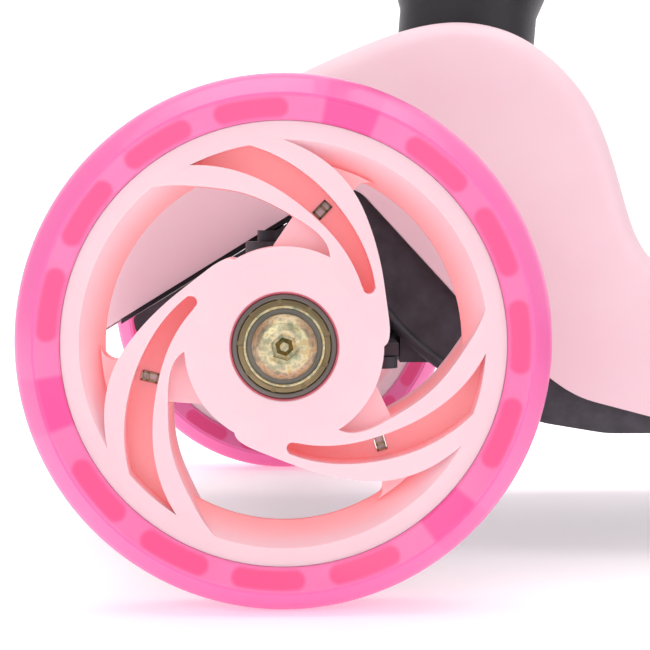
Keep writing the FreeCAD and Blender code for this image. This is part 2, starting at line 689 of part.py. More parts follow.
def lower_frame():
    """Tub under the cover: side panels, sloping floor and the lean pivot's two ribs."""
    out, wall = driving["panel_out"], driving["panel_wall"]
    tub = across_prism(panel, -out, out)
    lifted = [(x, z + wall, r) for x, z, r in panel]
    hollow = across_prism([(x, z + (60 if i > PANEL_FLOOR else 0), r) for i, (x, z, r) in enumerate(lifted)],
                          -out + wall, out - wall)
    tub = tub.cut(hollow)
    pivot = driving["pivot_height"]
    ribs = []
    for x in (30.5, 60.0):
        blank = Part.makeBox(4.5, 2 * (out - wall) + 0.4, 66.0, V(x, -out + wall - 0.2, 24.0))
        ribs.append(blank.common(across_prism(panel, -out, out)))
    bolts_at = [(x, y) for x in (-5.0, 6.0) for y in (-30.0, 30.0)]
    bosses = [Part.makeCylinder(5.0, 13.0, V(x, y, 78.0)) for x, y in bolts_at]
    for side in SIDES.values():
        low = 30.0 if side == 1 else -out + wall
        ribs.append(Part.makeBox(15.2, out - wall - 30.0, 19.2, V(28.8, low, 48.8)))
    tub = tub.fuse(ribs + bosses)
    passage = Part.makeBox(30.0, 34.0, 30.0, V(22.0, -17.0, 33.0))
    hole = Part.makeCylinder(5.0, 60.0, V(20.0, 0, pivot), ALONG_X)
    trim = Part.makeBox(60.0, 26.0, 20.0, V(18.0, -13.0, pivot + 9.0))
    screw_holes = [Part.makeCylinder(1.5, 9, V(x, 62.0 * side, z), V(0, -side, 0))
                   for x, z in SCREWS_AT for side in SIDES.values()]
    bolt_holes = [Part.makeCylinder(2.1, 60.0, V(x, y, 60.0)) for x, y in bolts_at]
    tub = tub.cut([passage, hole, trim] + screw_holes + bolt_holes).removeSplitter()
    front_place(finished(shaped("lower_frame", max(tub.Solids, key=lambda s: s.Volume)), "lower_frame"))
    pin = fuse(rod(4.9, 36.6, (29.0, 0, dim.pivot_height), "x"), rod(7.0, 1.4, (28.9, 0, dim.pivot_height), "x"))
    front_place(finished(pin, "lean_pivot_pin"))


# ---------------------------------------------------------------- steering post

COLUMN_AT = (51.0, 138.0)     # a point on the column's axis: behind the front axle, above the ground


def column_place(thing, at=(0, 0, 0)):
    """Lay a thing out along the raked column, from its datum point."""
    rake = driving["rake"]
    way = FreeCAD.Rotation(ALONG_Y, rake)
    shift = way.multVec(V(*[number(c) for c in at]))
    place(thing, (dim.front_axle + (COLUMN_AT[0] + shift.x), shift.y, COLUMN_AT[1] + shift.z), ALONG_Y, rake)
    return thing


def steering_post():
    lean_back = (ALONG_Y, driving["rake"])
    x0, z0 = COLUMN_AT
    height = dim.pivot_height
    hub = rod(13.0, 22.6, (36.2, 0, height), "x")
    stub = solid("Cylinder", (x0 - 4.1, 0, z0 - 52.0), *lean_back, Radius=dim.post_radius, Height=55.6)
    flare = solid("Cone", (x0 + 0.27, 0, z0 + 3.4), *lean_back, Radius1=dim.post_radius, Radius2=21.5, Height=7.5)
    lever = box((38.0, -5.0, 49.0), (50.0, 5.0, 70.0))
    reach = rod(2.8, 18.0, (22.0, 0, dim.tie_height), "x")
    ball = solid("Sphere", (dim.arm_reach, 0, dim.tie_height), Radius=4.05)
    bore = rod(4.96, 40.0, (30.0, 0, height), "x")
    post = cut(fuse(hub, stub, flare, lever, reach, ball), bore,
               box((59.0, -30.0, 60.0), (90.0, 30.0, 97.0)), box((20.0, -30.0, 84.0), (35.9, 30.0, 97.0)))
    front_place(finished(post, "steering_post"))

    # A curved shield rides on the post and closes the cover's opening while the column leans.
    inside, outside = 36.0, 38.0
    skin = cut(rod(outside, 46.0, (24.0, 0, height), "x"), rod(inside, 60.0, (20.0, 0, height), "x"))
    patch = common(skin, box((20.0, -40.0, 103.5), (90.0, 40.0, 130.0)))
    hole = solid("Cylinder", (x0 - 4.1, 0, z0 - 52.0), *lean_back, Radius=dim.post_radius, Height=70.0)
    front_place(finished(cut(patch, hole), "post_shield"))

    springs = []
    for side in SIDES.values():
        coil = coil_shape(4.2, 0.8, 4.2, 29.4)
        coil.rotate(V(0, 0, 0), ALONG_X, -90)
        coil.translate(V(47.0, 23.2 if side == 1 else -52.6, 95.0))
        springs.append(coil)
    front_place(finished(shaped("centring_springs", Part.makeCompound(springs)), "centring_springs"))


def coil_shape(radius, wire, pitch, length):
    """An open coil of round wire about the local Z axis."""
    helix = Part.makeHelix(pitch, length, radius)
    start = helix.Edges[0]
    tangent = start.tangentAt(start.FirstParameter)
    circle = Part.Wire([Part.Circle(start.valueAt(start.FirstParameter), tangent, wire).toShape()])
    return Part.Wire(helix.Edges).makePipeShell([circle], True, True)


# ---------------------------------------------------------------- deck

def deck():
    front = dim.front_axle + dim.cover_end
    tray = body("deck_blank")
    outline = [(front, -dim.deck_half + 1, 0), (110, -56, 60), (dim.deck_tail, -34, 16),
               (dim.deck_tail, 34, 16), (110, 56, 60), (front, dim.deck_half - 1, 0)]
    padded(tray, "XY_Plane", outline, dim.deck_top - dim.deck_under)
    rounded_edges(tray, 4.0, lambda e: e.BoundBox.ZLength < 0.01 and e.BoundBox.XLength > 5.0, "Rounded")
    place(tray, (0, 0, (dim.deck_top + dim.deck_under) * 0.5))
    hollow = body("deck_hollow")
    inside = [(front + 4, -dim.deck_half + 5.5, 6), (108, -52, 50), (128, -44, 6), (128, 44, 6), (108, 52, 50),
              (front + 4, dim.deck_half - 5.5, 6)]
    padded(hollow, "XY_Plane", inside, 40.0)
    place(hollow, (0, 0, dim.deck_top - 4.6 - 20.0))
    recess = body("mat_recess")
    mat_edge = [(front + 14, -48, 14), (112, -46, 50), (dim.deck_tail - 16, -28, 14),
                (dim.deck_tail - 16, 28, 14), (112, 46, 50), (front + 14, 48, 14)]
    padded(recess, "XY_Plane", mat_edge, 8.0)
    place(recess, (0, 0, dim.deck_top - 1.2 + 4.0))
    ribs = [box((x, -50.0, dim.deck_top - 10.0), (x + 2.4, 50.0, dim.deck_top - 4.0)) for x in (-60.0, -15.0, 30.0, 75.0)]
    spine = [box((front + 2, y, dim.deck_top - 10.0), (129.0, y + 2.4, dim.deck_top - 4.0)) for y in (-21.2, 18.8)]
    shell = cut(tray, hollow, recess)
    holes = [rod(2.1, 30.0, (x, y, 28.0)) for x in (136.0, 156.0) for y in (-25.5, 25.5)]
    finished(cut(fuse(shell, *ribs, *spine), *holes), "deck")

    mat = body("mat_blank")
    inner = [(front + 14.3, -47.7, 13.7), (112, -45.7, 50), (dim.deck_tail - 16.3, -27.7, 13.7),
             (dim.deck_tail - 16.3, 27.7, 13.7), (112, 45.7, 50), (front + 14.3, 47.7, 13.7)]
    padded(mat, "XY_Plane", inner, dim.mat_thick)
    place(mat, (0, 0, dim.deck_top - 1.2 + dim.mat_thick * 0.5))
    finished(mat, "deck_mat")

    screws = [fuse(rod(2.0, 17.0, (x, y, 29.0)), rod(3.9, 2.4, (x, y, 26.8)))
              for x in (136.0, 156.0) for y in (-25.5, 25.5)]
    finished(group(*screws), "fork_screws")


# ---------------------------------------------------------------- rear wheel, fork and brake

def rear_place(thing):
    return place(thing, (dim.rear_axle, 0, dim.rear_radius), ALONG_X, 90)


def rear_wheel():
    core = body("rear_core_blank")
    revolved(core, [
        (dim.bearing_outer, 12.0), (14.5, 12.0, 0.6), (16.0, 6.0, 1.5), (24.5, 4.0, 2.0), (26.0, 8.5, 0.8),
        (29.0, 8.5), (28.0, 3.0), (32.5, 3.0), (32.5, -3.0), (28.0, -3.0), (29.0, -8.5), (26.0, -8.5, 0.8),
        (24.5, -4.0, 2.0), (16.0, -6.0, 1.5), (14.5, -12.0, 0.6), (dim.bearing_outer, -12.0),
        (dim.bearing_outer, -4.8), (9.5, -4.8), (9.5, 4.8), (dim.bearing_outer, 4.8)])
    hole = padded(core, "XY_Plane", [(18.2, -3.2, 2.4), (23.2, -4.2, 2.4), (23.2, 4.2, 2.4), (18.2, 3.2, 2.4)],
                  30.0, "Pocket", "Lightening")
    polar(core, hole, 6)
    rear_place(finished(core, "rear_wheel_core"))
    tyre = body("rear_tyre")
    revolved(tyre, [(29.0, 8.5), (28.0, 3.0), (32.5, 3.0), (32.5, -3.0), (28.0, -3.0), (29.0, -8.5),
                    (29.4, -9.6), (34.0, -dim.rear_half, 2.5), (dim.rear_radius, -5.0, 8.0),
                    (dim.rear_radius, 5.0, 8.0), (34.0, dim.rear_half, 2.5), (29.4, 9.6)])
    rear_place(finished(tyre, "rear_tyre"))
    outer, inner = bearing_pair(Size(11.8, "11.8"), "rear_bearing_outer", "rear_bearing_inner")
    rear_place(outer)
    rear_place(inner)
    rear_place(finished(ring(6.0, dim.bearing_bore, -4.8, 4.8), "rear_axle_sleeve"))
    washers = group(ring(6.0, dim.bearing_bore, 11.8, dim.fork_inside),
                    ring(6.0, dim.bearing_bore, -dim.fork_inside, -11.8))
    rear_place(finished(washers, "rear_axle_spacers"))
    side = dim.fork_inside + dim.fork_wall
    bolt = fuse(rod(dim.bearing_bore - 0.02, side * 2 + 9, (0, 0, -side - 8.5)),
                cut(solid("Cone", (0, 0, side), Radius1=7.0, Radius2=5.0, Height=4.4),
                    solid("Prism", (0, 0, side + 1.6), Polygon=6, Circumradius=2.9, Height=6.0)))
    rear_place(finished(bolt, "rear_axle_bolt"))
    nut = cut(solid("Prism", (0, 0, -side - 7.0), Polygon=6, Circumradius=7.5, Height=7.0),
              rod(dim.bearing_bore - 0.02, 20.0, (0, 0, -side - 15)))
    rear_place(finished(nut, "rear_axle_nut"))


def rear_fork():
    """Bracket under the tail that carries the rear axle between two plates."""
    pieces = []
    inside, wall = dim.fork_inside, dim.fork_wall
    for side in SIDES.values():
        low = inside if side == 1 else -inside - wall
        plate = body("fork_plate")
        padded(plate, "XZ_Plane", [(168.6, 31.0, 0), (dim.rear_axle - 10, 29.0, 4), (dim.rear_axle + 11, 29.5, 9),
                                   (dim.rear_axle + 11, 50.5, 9), (dim.rear_axle - 14, 52, 8), (178, 58.0, 4),
                                   (168.6, 58.0, 0)], wall)
        pieces.append(place(plate, (0, low + wall * 0.5, 0)))
        wing = box((124.0, low, 26.2), (172.0, low + wall, dim.deck_under - 0.2))
        pieces.append(wing)
    pieces.append(box((124.0, -32.0, dim.deck_under - 2.0), (167.0, 32.0, dim.deck_under)))
    pieces.append(box((168.2, -inside - wall, dim.deck_under - 2.0), (171.0, -inside, 58.0)))
    pieces.append(box((168.2, inside, dim.deck_under - 2.0), (171.0, inside + wall, 58.0)))
    relief = box((160.0, -inside, 20.0), (280.0, inside, 80.0))
    holes = [rod(2.1, 20.0, (x, y, 24.0)) for x in (136.0, 156.0) for y in (-25.5, 25.5)]
    axle = rod(dim.bearing_bore, 80.0, (dim.rear_axle, -40, dim.rear_radius), "y")
    finished(cut(fuse(*pieces), relief, axle, *holes), "rear_fork")


BRAKE_HINGE = (176.5, 66.0)
TAIL_END = 280.0


def brake():
    """Mudguard over the rear wheel; stepping on it presses it on the tyre."""
    hinge_x, hinge_z = BRAKE_HINGE
    inner, thick = driving["rear_radius"] + 4.0, 3.0
    shell = Part.makeCylinder(inner + thick, 34.0, V(0, -17.0, 0), ALONG_Y)
    shell = shell.cut(Part.makeCylinder(inner, 40.0, V(0, -20.0, 0), ALONG_Y))
    sweep = across_prism([(0, 0, 0), (-60, 44, 0), (-40, 80, 0), (40, 90, 0), (80, 24, 0)], -20, 20)
    shell = shell.common(sweep)
    shell.translate(V(driving["rear_axle"], 0, driving["rear_radius"]))
    skirt = []
    for side in SIDES.values():
        ring_half = Part.makeCylinder(inner + thick, 2.0, V(0, 15.0 * side + (0 if side == 1 else -2.0), 0), ALONG_Y)
        ring_half = ring_half.cut(Part.makeCylinder(inner - 5.0, 2.0, V(0, 15.0 * side + (0 if side == 1 else -2.0), 0),
                                                    ALONG_Y)).common(sweep)
        ring_half.translate(V(driving["rear_axle"], 0, driving["rear_radius"]))
        skirt.append(ring_half)
    neck = across_prism([(hinge_x - 1, hinge_z - 5.4, 0), (hinge_x + 1, hinge_z + 5.5, 3), (206, 79.5, 8),
                         (210, 76.0, 0), (199, 65.5, 4)], -13.0, 13.0)
    barrel = Part.makeCylinder(5.5, 26.0, V(hinge_x, -13.0, hinge_z), ALONG_Y)
    clear = Part.makeCylinder(inner, 24.0, V(driving["rear_axle"], -12.0, driving["rear_radius"]), ALONG_Y)
    tail = Part.makeBox(20.0, 60.0, 60.0, V(TAIL_END, -30.0, 30.0))
    pedal = shell.fuse(skirt + [neck, barrel]).cut([
        clear, tail, Part.makeCylinder(2.56, 40.0, V(hinge_x, -20.0, hinge_z), ALONG_Y),
        Part.makeBox(14.0, 7.0, 14.0, V(hinge_x - 7.0, -3.5, hinge_z - 7.0))])
    finished(shaped("brake_fender", pedal.removeSplitter()), "brake_fender")

    pin = rod(2.5, 41.6, (hinge_x, -20.8, hinge_z), "y")
    finished(group(pin), "brake_pin")
    ears = []
    for side in SIDES.values():
        low = 13.4 if side == 1 else -20.4
        ear = across_prism([(168.6, 58.0, 0), (183.0, 58.0, 0), (183.0, 71.5, 5), (170.5, 71.5, 5), (168.6, 61.0, 0)],
                           low, low + 7.0)
        ears.append(ear.cut(Part.makeCylinder(2.5, 60, V(hinge_x, -30, hinge_z), ALONG_Y)))
    finished(shaped("brake_lugs", Part.makeCompound(ears)), "brake_lugs")
    coil = coil_shape(3.9, 0.5, 1.3, 5.2)
    coil.rotate(V(0, 0, 0), ALONG_X, -90)
    coil.translate(V(hinge_x, -2.6, hinge_z))
    finished(shaped("brake_spring", coil), "brake_spring")


# ---------------------------------------------------------------- column, fold joint and handlebar

def fold_joint():
    pin_at = dim.fold_height
    collar = rod(21.5, 6.0, (0, 0, 11.0))
    cheeks = []
    for side in SIDES.values():
        low = 11.0 if side == 1 else -19.0
        cheek = body("fold_cheek")
        padded(cheek, "XZ_Plane", [(-15, 15, 0), (15, 15, 0), (15.5, pin_at + 15.5, 14), (-15.5, pin_at + 15.5, 14)],
               8.0)
        cheeks.append(place(cheek, (0, low + 4.0, 0)))
    base = cut(fuse(collar, *cheeks), rod(4.0, 60.0, (0, -30.0, pin_at), "y"))
    column_place(finished(base, "fold_base"))

    tongue = rod(14.5, 21.0, (0, -10.5, pin_at), "y")
    stem = box((-12.5, -10.5, pin_at), (12.5, 10.5, pin_at + 22.0))
    socket = rod(20.5, 34.0, (0, 0, pin_at + 17.0))
    inside = rod(dim.tube_radius, 40.0, (0, 0, pin_at + 24.0))
    button_well = rod(6.2, 20.0, (-24.0, 0, pin_at + 34.0), "x")
    head = cut(fuse(tongue, stem, socket), inside, rod(4.06, 60.0, (0, -30.0, pin_at), "y"), button_well)
    column_place(finished(head, "fold_head"))
    pin = fuse(rod(4.0 - 0.01, 41.0, (0, -20.5, pin_at), "y"), rod(6.0, 1.8, (0, -20.8, pin_at), "y"),
               rod(6.0, 1.8, (0, 19.0, pin_at), "y"))
    column_place(finished(pin, "fold_pin"))
    button = fuse(rod(6.0, 5.2, (-23.2, 0, pin_at + 34.0), "x"), rod(5.0, 1.6, (-24.4, 0, pin_at + 34.0), "x"))
    column_place(finished(button, "fold_button"))


def column_tubes():
    low = dim.fold_height + 24.0
    tube = cut(rod(dim.tube_radius - 0.05, dim.tube_top - low, (0, 0, low)),
               rod(dim.tube_radius - 1.7, dim.tube_top, (0, 0, 40.0)),
               rod(6.2, 30.0, (-34.0, 0, dim.fold_height + 34.0), "x"))
    column_place(finished(tube, "lower_tube"))
    top = dim.tube_top
    collar = ring(21.0, dim.tube_radius, top - 30.0, top - 1.0)
    lug = box((12.0, -7.0, top - 28.0), (30.0, 7.0, top - 3.0))
    slit = box((14.0, -1.2, top - 31.0), (36.0, 1.2, top))
    hole = rod(2.6, 40.0, (25.0, -20.0, top - 15.5), "y")
    bore = rod(dim.tube_radius, 60.0, (0, 0, top - 45.0))
    clamp = cut(fuse(collar, lug), slit, hole, bore)
    column_place(finished(clamp, "tube_clamp"))
    pin_y = -12.2
    bolt = fuse(rod(2.5, 22.2, (25.0, pin_y, top - 15.5), "y"), rod(4.6, 3.0, (25.0, 7.0, top - 15.5), "y"),
                rod(2.7, 14.0, (25.0, pin_y, top - 22.5)))
    column_place(finished(bolt, "clamp_bolt"))
    handle = body("lever_blank")
    padded(handle, "XY_Plane", [(21, -18.2, 0), (-26, -28.7, 0), (-27, -32.2, 1.6), (23, -21.0, 4), (26.5, -16.0, 0),
                                (21, -13.0, 0)], 14.0)
    place(handle, (0, 0, top - 15.5))
    lever = cut(fuse(rod(5.0, 14.0, (25.0, pin_y, top - 22.5)), handle),
                rod(2.76, 20.0, (25.0, pin_y, top - 25.5)),
                box((22.0, pin_y - 3.0, top - 18.7), (40.0, 0.0, top - 12.3)))
    column_place(finished(lever, "clamp_lever"))


def handlebar():
    bar = dim.bar_height
    stem = ring(dim.inner_radius, dim.inner_radius - 1.6, 175.0, bar - 11.3)
    column_place(finished(stem, "upper_tube"))
    bush = ring(dim.tube_radius - 1.75, dim.inner_radius + 0.05, dim.tube_top - 60.0, dim.tube_top)
    column_place(finished(bush, "tube_bush"))
    cross = rod(dim.bar_radius, dim.bar_half * 2 - 8.0, (0, -dim.bar_half + 4.0, bar), "y")
    sleeve = ring(18.0, dim.inner_radius + 0.02, bar - 46.0, bar - 8.0)
    cap = rod(18.0, 10.0, (0, 0, bar - 8.0))
    crown = solid("Sphere", (0, 0, bar + 2.0), Radius=18.0)
    saddle = rod(15.5, 64.0, (0, -32.0, bar), "y")
    tee = cut(fuse(sleeve, cap, crown, saddle), rod(dim.bar_radius + 0.02, 90.0, (0, -45.0, bar), "y"),
              rod(dim.inner_radius + 0.02, 38.0, (0, 0, bar - 46.0)))
    column_place(finished(tee, "bar_joint"))
    column_place(finished(group(cross), "crossbar"))
    for name, side in SIDES.items():
        grip = body("grip_blank_" + name)
        inner = dim.bar_radius + 0.02
        revolved(grip, [(inner, 33.0), (19.5, 33.0, 1.5), (19.5, 36.5, 1.5), (15.0, 39.0, 3.0), (16.0, 80.0, 40.0),
                        (15.0, 124.0, 3.0), (18.5, 128.0, 2.0), (18.5, dim.bar_half, 3.0), (inner, dim.bar_half)])
        turned = finished(grip, "grip_" + name)
        rake = driving["rake"]
        way = FreeCAD.Rotation(ALONG_Y, rake)
        at = way.multVec(V(0, 0, number(bar)))
        turned.Placement = FreeCAD.Placement(V(number(dim.front_axle) + COLUMN_AT[0] + at.x, 0, COLUMN_AT[1] + at.z),
                                             way.multiply(FreeCAD.Rotation(ALONG_X, -90 * side)))


# ---------------------------------------------------------------- build, check and write

for name, side in SIDES.items():
    front_wheel(name, side)
    knuckle(name, side)
axle_beam()
tie_rod()
front_cover()
lower_frame()
steering_post()
deck()
rear_wheel()
rear_fork()
brake()
fold_joint()
column_tubes()
handlebar()

doc.recompute()
for thing in doc.Objects:
    if {"Invalid", "Error"} & set(thing.State):
        raise RuntimeError(f"{thing.Label} did not build: {thing.State}")

os.makedirs("parts", exist_ok=True)
for old in os.listdir("parts"):
    os.remove(os.path.join("parts", old))
for part in subparts:
    if part.Shape.isNull() or not part.Shape.isValid():
        raise RuntimeError(f"{part.Label} has no sound shape")
    part.Shape.exportStep(os.path.join("parts", part.Label + ".step"))
    low, high = part.Shape.BoundBox.ZMin, part.Shape.BoundBox.ZMax
    print(f"{part.Label}: {len(part.Shape.Solids)} solids, {part.Shape.Volume / 1000:.2f} cm3, z {low:.1f} to {high:.1f}")
print(len(subparts), "sub-parts")
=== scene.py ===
import bmesh
import bpy
import math
from mathutils import Matrix, Vector


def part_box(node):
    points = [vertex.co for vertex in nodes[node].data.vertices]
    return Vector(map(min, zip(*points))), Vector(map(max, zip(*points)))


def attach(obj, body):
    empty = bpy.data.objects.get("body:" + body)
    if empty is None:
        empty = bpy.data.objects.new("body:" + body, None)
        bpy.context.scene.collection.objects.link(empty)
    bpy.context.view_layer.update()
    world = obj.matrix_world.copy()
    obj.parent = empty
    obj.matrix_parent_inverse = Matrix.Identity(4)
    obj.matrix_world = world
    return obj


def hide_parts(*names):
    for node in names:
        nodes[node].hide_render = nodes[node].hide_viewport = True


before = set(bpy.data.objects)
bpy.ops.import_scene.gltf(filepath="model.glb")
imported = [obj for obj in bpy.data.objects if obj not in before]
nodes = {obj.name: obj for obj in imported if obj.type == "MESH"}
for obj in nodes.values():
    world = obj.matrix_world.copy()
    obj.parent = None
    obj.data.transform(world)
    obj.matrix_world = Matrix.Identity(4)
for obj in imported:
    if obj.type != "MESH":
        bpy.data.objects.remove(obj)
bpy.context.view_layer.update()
print("frame loaded,", len(nodes), "nodes")


def middle(node):
    low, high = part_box(node)
    return Vector([(a + b) / 2 for a, b in zip(low, high)])


# shared effects: each is a group placed in the materials that use it

def newGroup(name, inputs, outputs):
    tree = bpy.data.node_groups.new(name, "ShaderNodeTree")
    for label, kind, value in inputs:
        socket = tree.interface.new_socket(name=label, in_out="INPUT", socket_type="NodeSocket" + kind)
        if value is not None:
            socket.default_value = value
    for label, kind in outputs:
        tree.interface.new_socket(name=label, in_out="OUTPUT", socket_type="NodeSocket" + kind)
    return tree, tree.nodes.new("NodeGroupInput"), tree.nodes.new("NodeGroupOutput")


def mouldGrain():
    # fine sparked texture of a moulding, with a broad unevenness under it
    tree, given, result = newGroup("mouldGrain",
                                   [("Vector", "Vector", None), ("Scale", "Float", 900.0),
                                    ("Waviness", "Float", 0.3)],
                                   [("Height", "Float"), ("Cloud", "Float")])
    fine = tree.nodes.new("ShaderNodeTexNoise")
    fine.inputs["Detail"].default_value = 4.0
    broad = tree.nodes.new("ShaderNodeTexNoise")
    broad.inputs["Scale"].default_value = 45.0
    broad.inputs["Detail"].default_value = 3.0
    share = tree.nodes.new("ShaderNodeMix")
    share.data_type = "FLOAT"
    tree.links.new(given.outputs["Vector"], fine.inputs["Vector"])
    tree.links.new(given.outputs["Scale"], fine.inputs["Scale"])
    tree.links.new(given.outputs["Vector"], broad.inputs["Vector"])
    tree.links.new(given.outputs["Waviness"], share.inputs[0])
    tree.links.new(fine.outputs["Fac"], share.inputs[2])
    tree.links.new(broad.outputs["Fac"], share.inputs[3])
    tree.links.new(share.outputs[0], result.inputs["Height"])
    tree.links.new(broad.outputs["Fac"], result.inputs["Cloud"])
    return tree


def tint():
    # one colour drifting towards another with a mask
    tree, given, result = newGroup("tint",
                                   [("Mask", "Float", 0.5), ("From", "Color", (1, 1, 1, 1)),
                                    ("To", "Color", (1, 1, 1, 1)),
                                    ("Low", "Float", 0.3), ("High", "Float", 0.7)],
                                   [("Color", "Color")])
    span = tree.nodes.new("ShaderNodeMapRange")
    mix = tree.nodes.new("ShaderNodeMix")
    mix.data_type = "RGBA"
    tree.links.new(given.outputs["Mask"], span.inputs["Value"])
    tree.links.new(given.outputs["Low"], span.inputs["From Min"])
    tree.links.new(given.outputs["High"], span.inputs["From Max"])
    tree.links.new(span.outputs["Result"], mix.inputs[0])
    tree.links.new(given.outputs["From"], mix.inputs[6])
    tree.links.new(given.outputs["To"], mix.inputs[7])
    tree.links.new(mix.outputs[2], result.inputs["Color"])
    return tree


def paleEdgePatches():
    # paler patches along the convex edges of black mouldings and tubes, found by their pointiness
    tree, given, result = newGroup("paleEdgePatches",
                                   [("Vector", "Vector", None), ("Color", "Color", (1, 1, 1, 1)),
                                    ("Rubbed", "Color", (1, 1, 1, 1)),
                                    ("Amount", "Float", 0.5)],
                                   [("Color", "Color")])
    shape = tree.nodes.new("ShaderNodeNewGeometry")
    span = tree.nodes.new("ShaderNodeMapRange")
    span.inputs["From Min"].default_value = 0.505
    span.inputs["From Max"].default_value = 0.56
    patch = tree.nodes.new("ShaderNodeTexNoise")
    patch.inputs["Scale"].default_value = 160.0
    both = tree.nodes.new("ShaderNodeMath")
    both.operation = "MULTIPLY"
    less = tree.nodes.new("ShaderNodeMath")
    less.operation = "MULTIPLY"
    mix = tree.nodes.new("ShaderNodeMix")
    mix.data_type = "RGBA"
    tree.links.new(shape.outputs["Pointiness"], span.inputs["Value"])
    tree.links.new(given.outputs["Vector"], patch.inputs["Vector"])
    tree.links.new(span.outputs["Result"], both.inputs[0])
    tree.links.new(patch.outputs["Fac"], both.inputs[1])
    tree.links.new(both.outputs[0], less.inputs[0])
    tree.links.new(given.outputs["Amount"], less.inputs[1])
    tree.links.new(less.outputs[0], mix.inputs[0])
    tree.links.new(given.outputs["Color"], mix.inputs[6])
    tree.links.new(given.outputs["Rubbed"], mix.inputs[7])
    tree.links.new(mix.outputs[2], result.inputs["Color"])
    return tree


def sums(tree):
    # the two steps that masks are worked out with: one sum, and one soft edge
    def maths(operation, first, second=None):
        node = tree.nodes.new("ShaderNodeMath")
        node.operation = operation
        for socket, value in zip(node.inputs, (first, second)):
            if isinstance(value, (int, float)):
                socket.default_value = value
            elif value is not None:
                tree.links.new(value, socket)
        return node.outputs[0]

    def ramp(value, low, high):
        node = tree.nodes.new("ShaderNodeMapRange")
        node.interpolation_type = "SMOOTHSTEP"
        node.inputs["From Min"].default_value = low
        node.inputs["From Max"].default_value = high
        tree.links.new(value, node.inputs["Value"])
        return node.outputs["Result"]

    return maths, ramp


# angles in degrees and sizes in metres: each soft edge runs from its first value to its second
windowPlan = {"pitch": 24, "lampPitch": 120, "windowEdge": (0.0006, -0.0006), "lampEdge": (7.2, 5.6),
              "lampPlace": (12.5, 11.5), "treadEdge": (0.0518, 0.0527), "treadFade": 0.6}


def castWindows():
    # fifteen places round a cast tyre: twelve pill windows, and a lamp at every fifth place
    tree, given, result = newGroup("castWindows",
                                   [("Vector", "Vector", None), ("First", "Float", 1.2915),
                                    ("Radius", "Float", 0.04965),
                                    ("Long", "Float", 0.00575), ("Wide", "Float", 0.00205)],
                                   [("Window", "Float"), ("Lamp", "Float"), ("Tread", "Float")])

    maths, ramp = sums(tree)
    split = tree.nodes.new("ShaderNodeSeparateXYZ")
    tree.links.new(given.outputs["Vector"], split.inputs[0])
    across, up = split.outputs["X"], split.outputs["Z"]
    turn = maths("SUBTRACT", maths("ARCTAN2", up, across), given.outputs["First"])
    away = maths("SQRT", maths("ADD", maths("MULTIPLY", across, across), maths("MULTIPLY", up, up)))
    pitch = math.radians(windowPlan["pitch"])
    near = maths("ABSOLUTE", maths("SUBTRACT", maths("FLOORED_MODULO", maths("ADD", turn, pitch / 2),
                                                     pitch), pitch / 2))
    third = math.radians(windowPlan["lampPitch"])
    lampTurn = maths("ABSOLUTE", maths("SUBTRACT", maths("FLOORED_MODULO", maths("ADD", turn, third / 2),
                                                         third), third / 2))
    along = maths("MAXIMUM", maths("SUBTRACT", maths("MULTIPLY", near, given.outputs["Radius"]),
                                   given.outputs["Long"]), 0.0)
    out = maths("SUBTRACT", away, given.outputs["Radius"])
    gap = maths("SUBTRACT", maths("SQRT", maths("ADD", maths("MULTIPLY", along, along),
                                                maths("MULTIPLY", out, out))),
                given.outputs["Wide"])
    pill = ramp(gap, *windowPlan["windowEdge"])
    lampSpan = ramp(lampTurn, *map(math.radians, windowPlan["lampEdge"]))
    lampPlace = ramp(lampTurn, *map(math.radians, windowPlan["lampPlace"]))
    tread = ramp(away, *windowPlan["treadEdge"])
    tree.links.new(maths("MULTIPLY", pill, maths("SUBTRACT", 1.0, lampPlace)), result.inputs["Window"])
    tree.links.new(maths("MULTIPLY", lampSpan, maths("SUBTRACT", 1.0,
                                                     maths("MULTIPLY", tread, windowPlan["treadFade"]))),
                   result.inputs["Lamp"])
    tree.links.new(tread, result.inputs["Tread"])
    return tree


def castRecess():
    # how deep a point of a wheel core lies under the shallow cone of its face, and the ring round its
    # bearing: the masks that place the core's painted shade and painted glow
    tree, given, result = newGroup("castRecess",
                                   [("Vector", "Vector", None), ("Hub", "Float", 0.0125),
                                    ("Fall", "Float", 0.166),
                                    ("From", "Float", 0.0175), ("Seat", "Float", 0.0114)],
                                   [("Deep", "Float"), ("Ring", "Float")])

    maths, ramp = sums(tree)
    split = tree.nodes.new("ShaderNodeSeparateXYZ")
    tree.links.new(given.outputs["Vector"], split.inputs[0])
    across, up = split.outputs["X"], split.outputs["Z"]
    away = maths("SQRT", maths("ADD", maths("MULTIPLY", across, across), maths("MULTIPLY", up, up)))
    beyond = maths("MAXIMUM", maths("SUBTRACT", away, given.outputs["From"]), 0.0)
    surface = maths("SUBTRACT", given.outputs["Hub"], maths("MULTIPLY", beyond, given.outputs["Fall"]))
    depth = maths("SUBTRACT", surface, maths("ABSOLUTE", split.outputs["Y"]))
    tree.links.new(ramp(depth, 0.0003, 0.0085), result.inputs["Deep"])
    tree.links.new(maths("LESS_THAN", away, given.outputs["Seat"]), result.inputs["Ring"])
    return tree


grainGroup = mouldGrain()
tintGroup = tint()
paleEdgeGroup = paleEdgePatches()
windowGroup = castWindows()
recessGroup = castRecess()


def linear(red, green, blue):
    # shade given as it is seen on a screen, 0 to 255
    shade = []
    for part in (red, green, blue):
        part = part / 255
        shade.append(part / 12.92 if part <= 0.04045 else ((part + 0.055) / 1.055) ** 2.4)
    return (*shade, 1.0)


def placed(tree, group, **values):
    node = tree.nodes.new("ShaderNodeGroup")
    node.node_tree = group
    for name, value in values.items():
        node.inputs[name].default_value = value
    return node


def newMaterial(name):
    material = bpy.data.materials.new(name)
    material.use_nodes = True
    tree = material.node_tree
    shader = tree.nodes["Principled BSDF"]
    coords = tree.nodes.new("ShaderNodeTexCoord")
    return material, tree, shader, coords


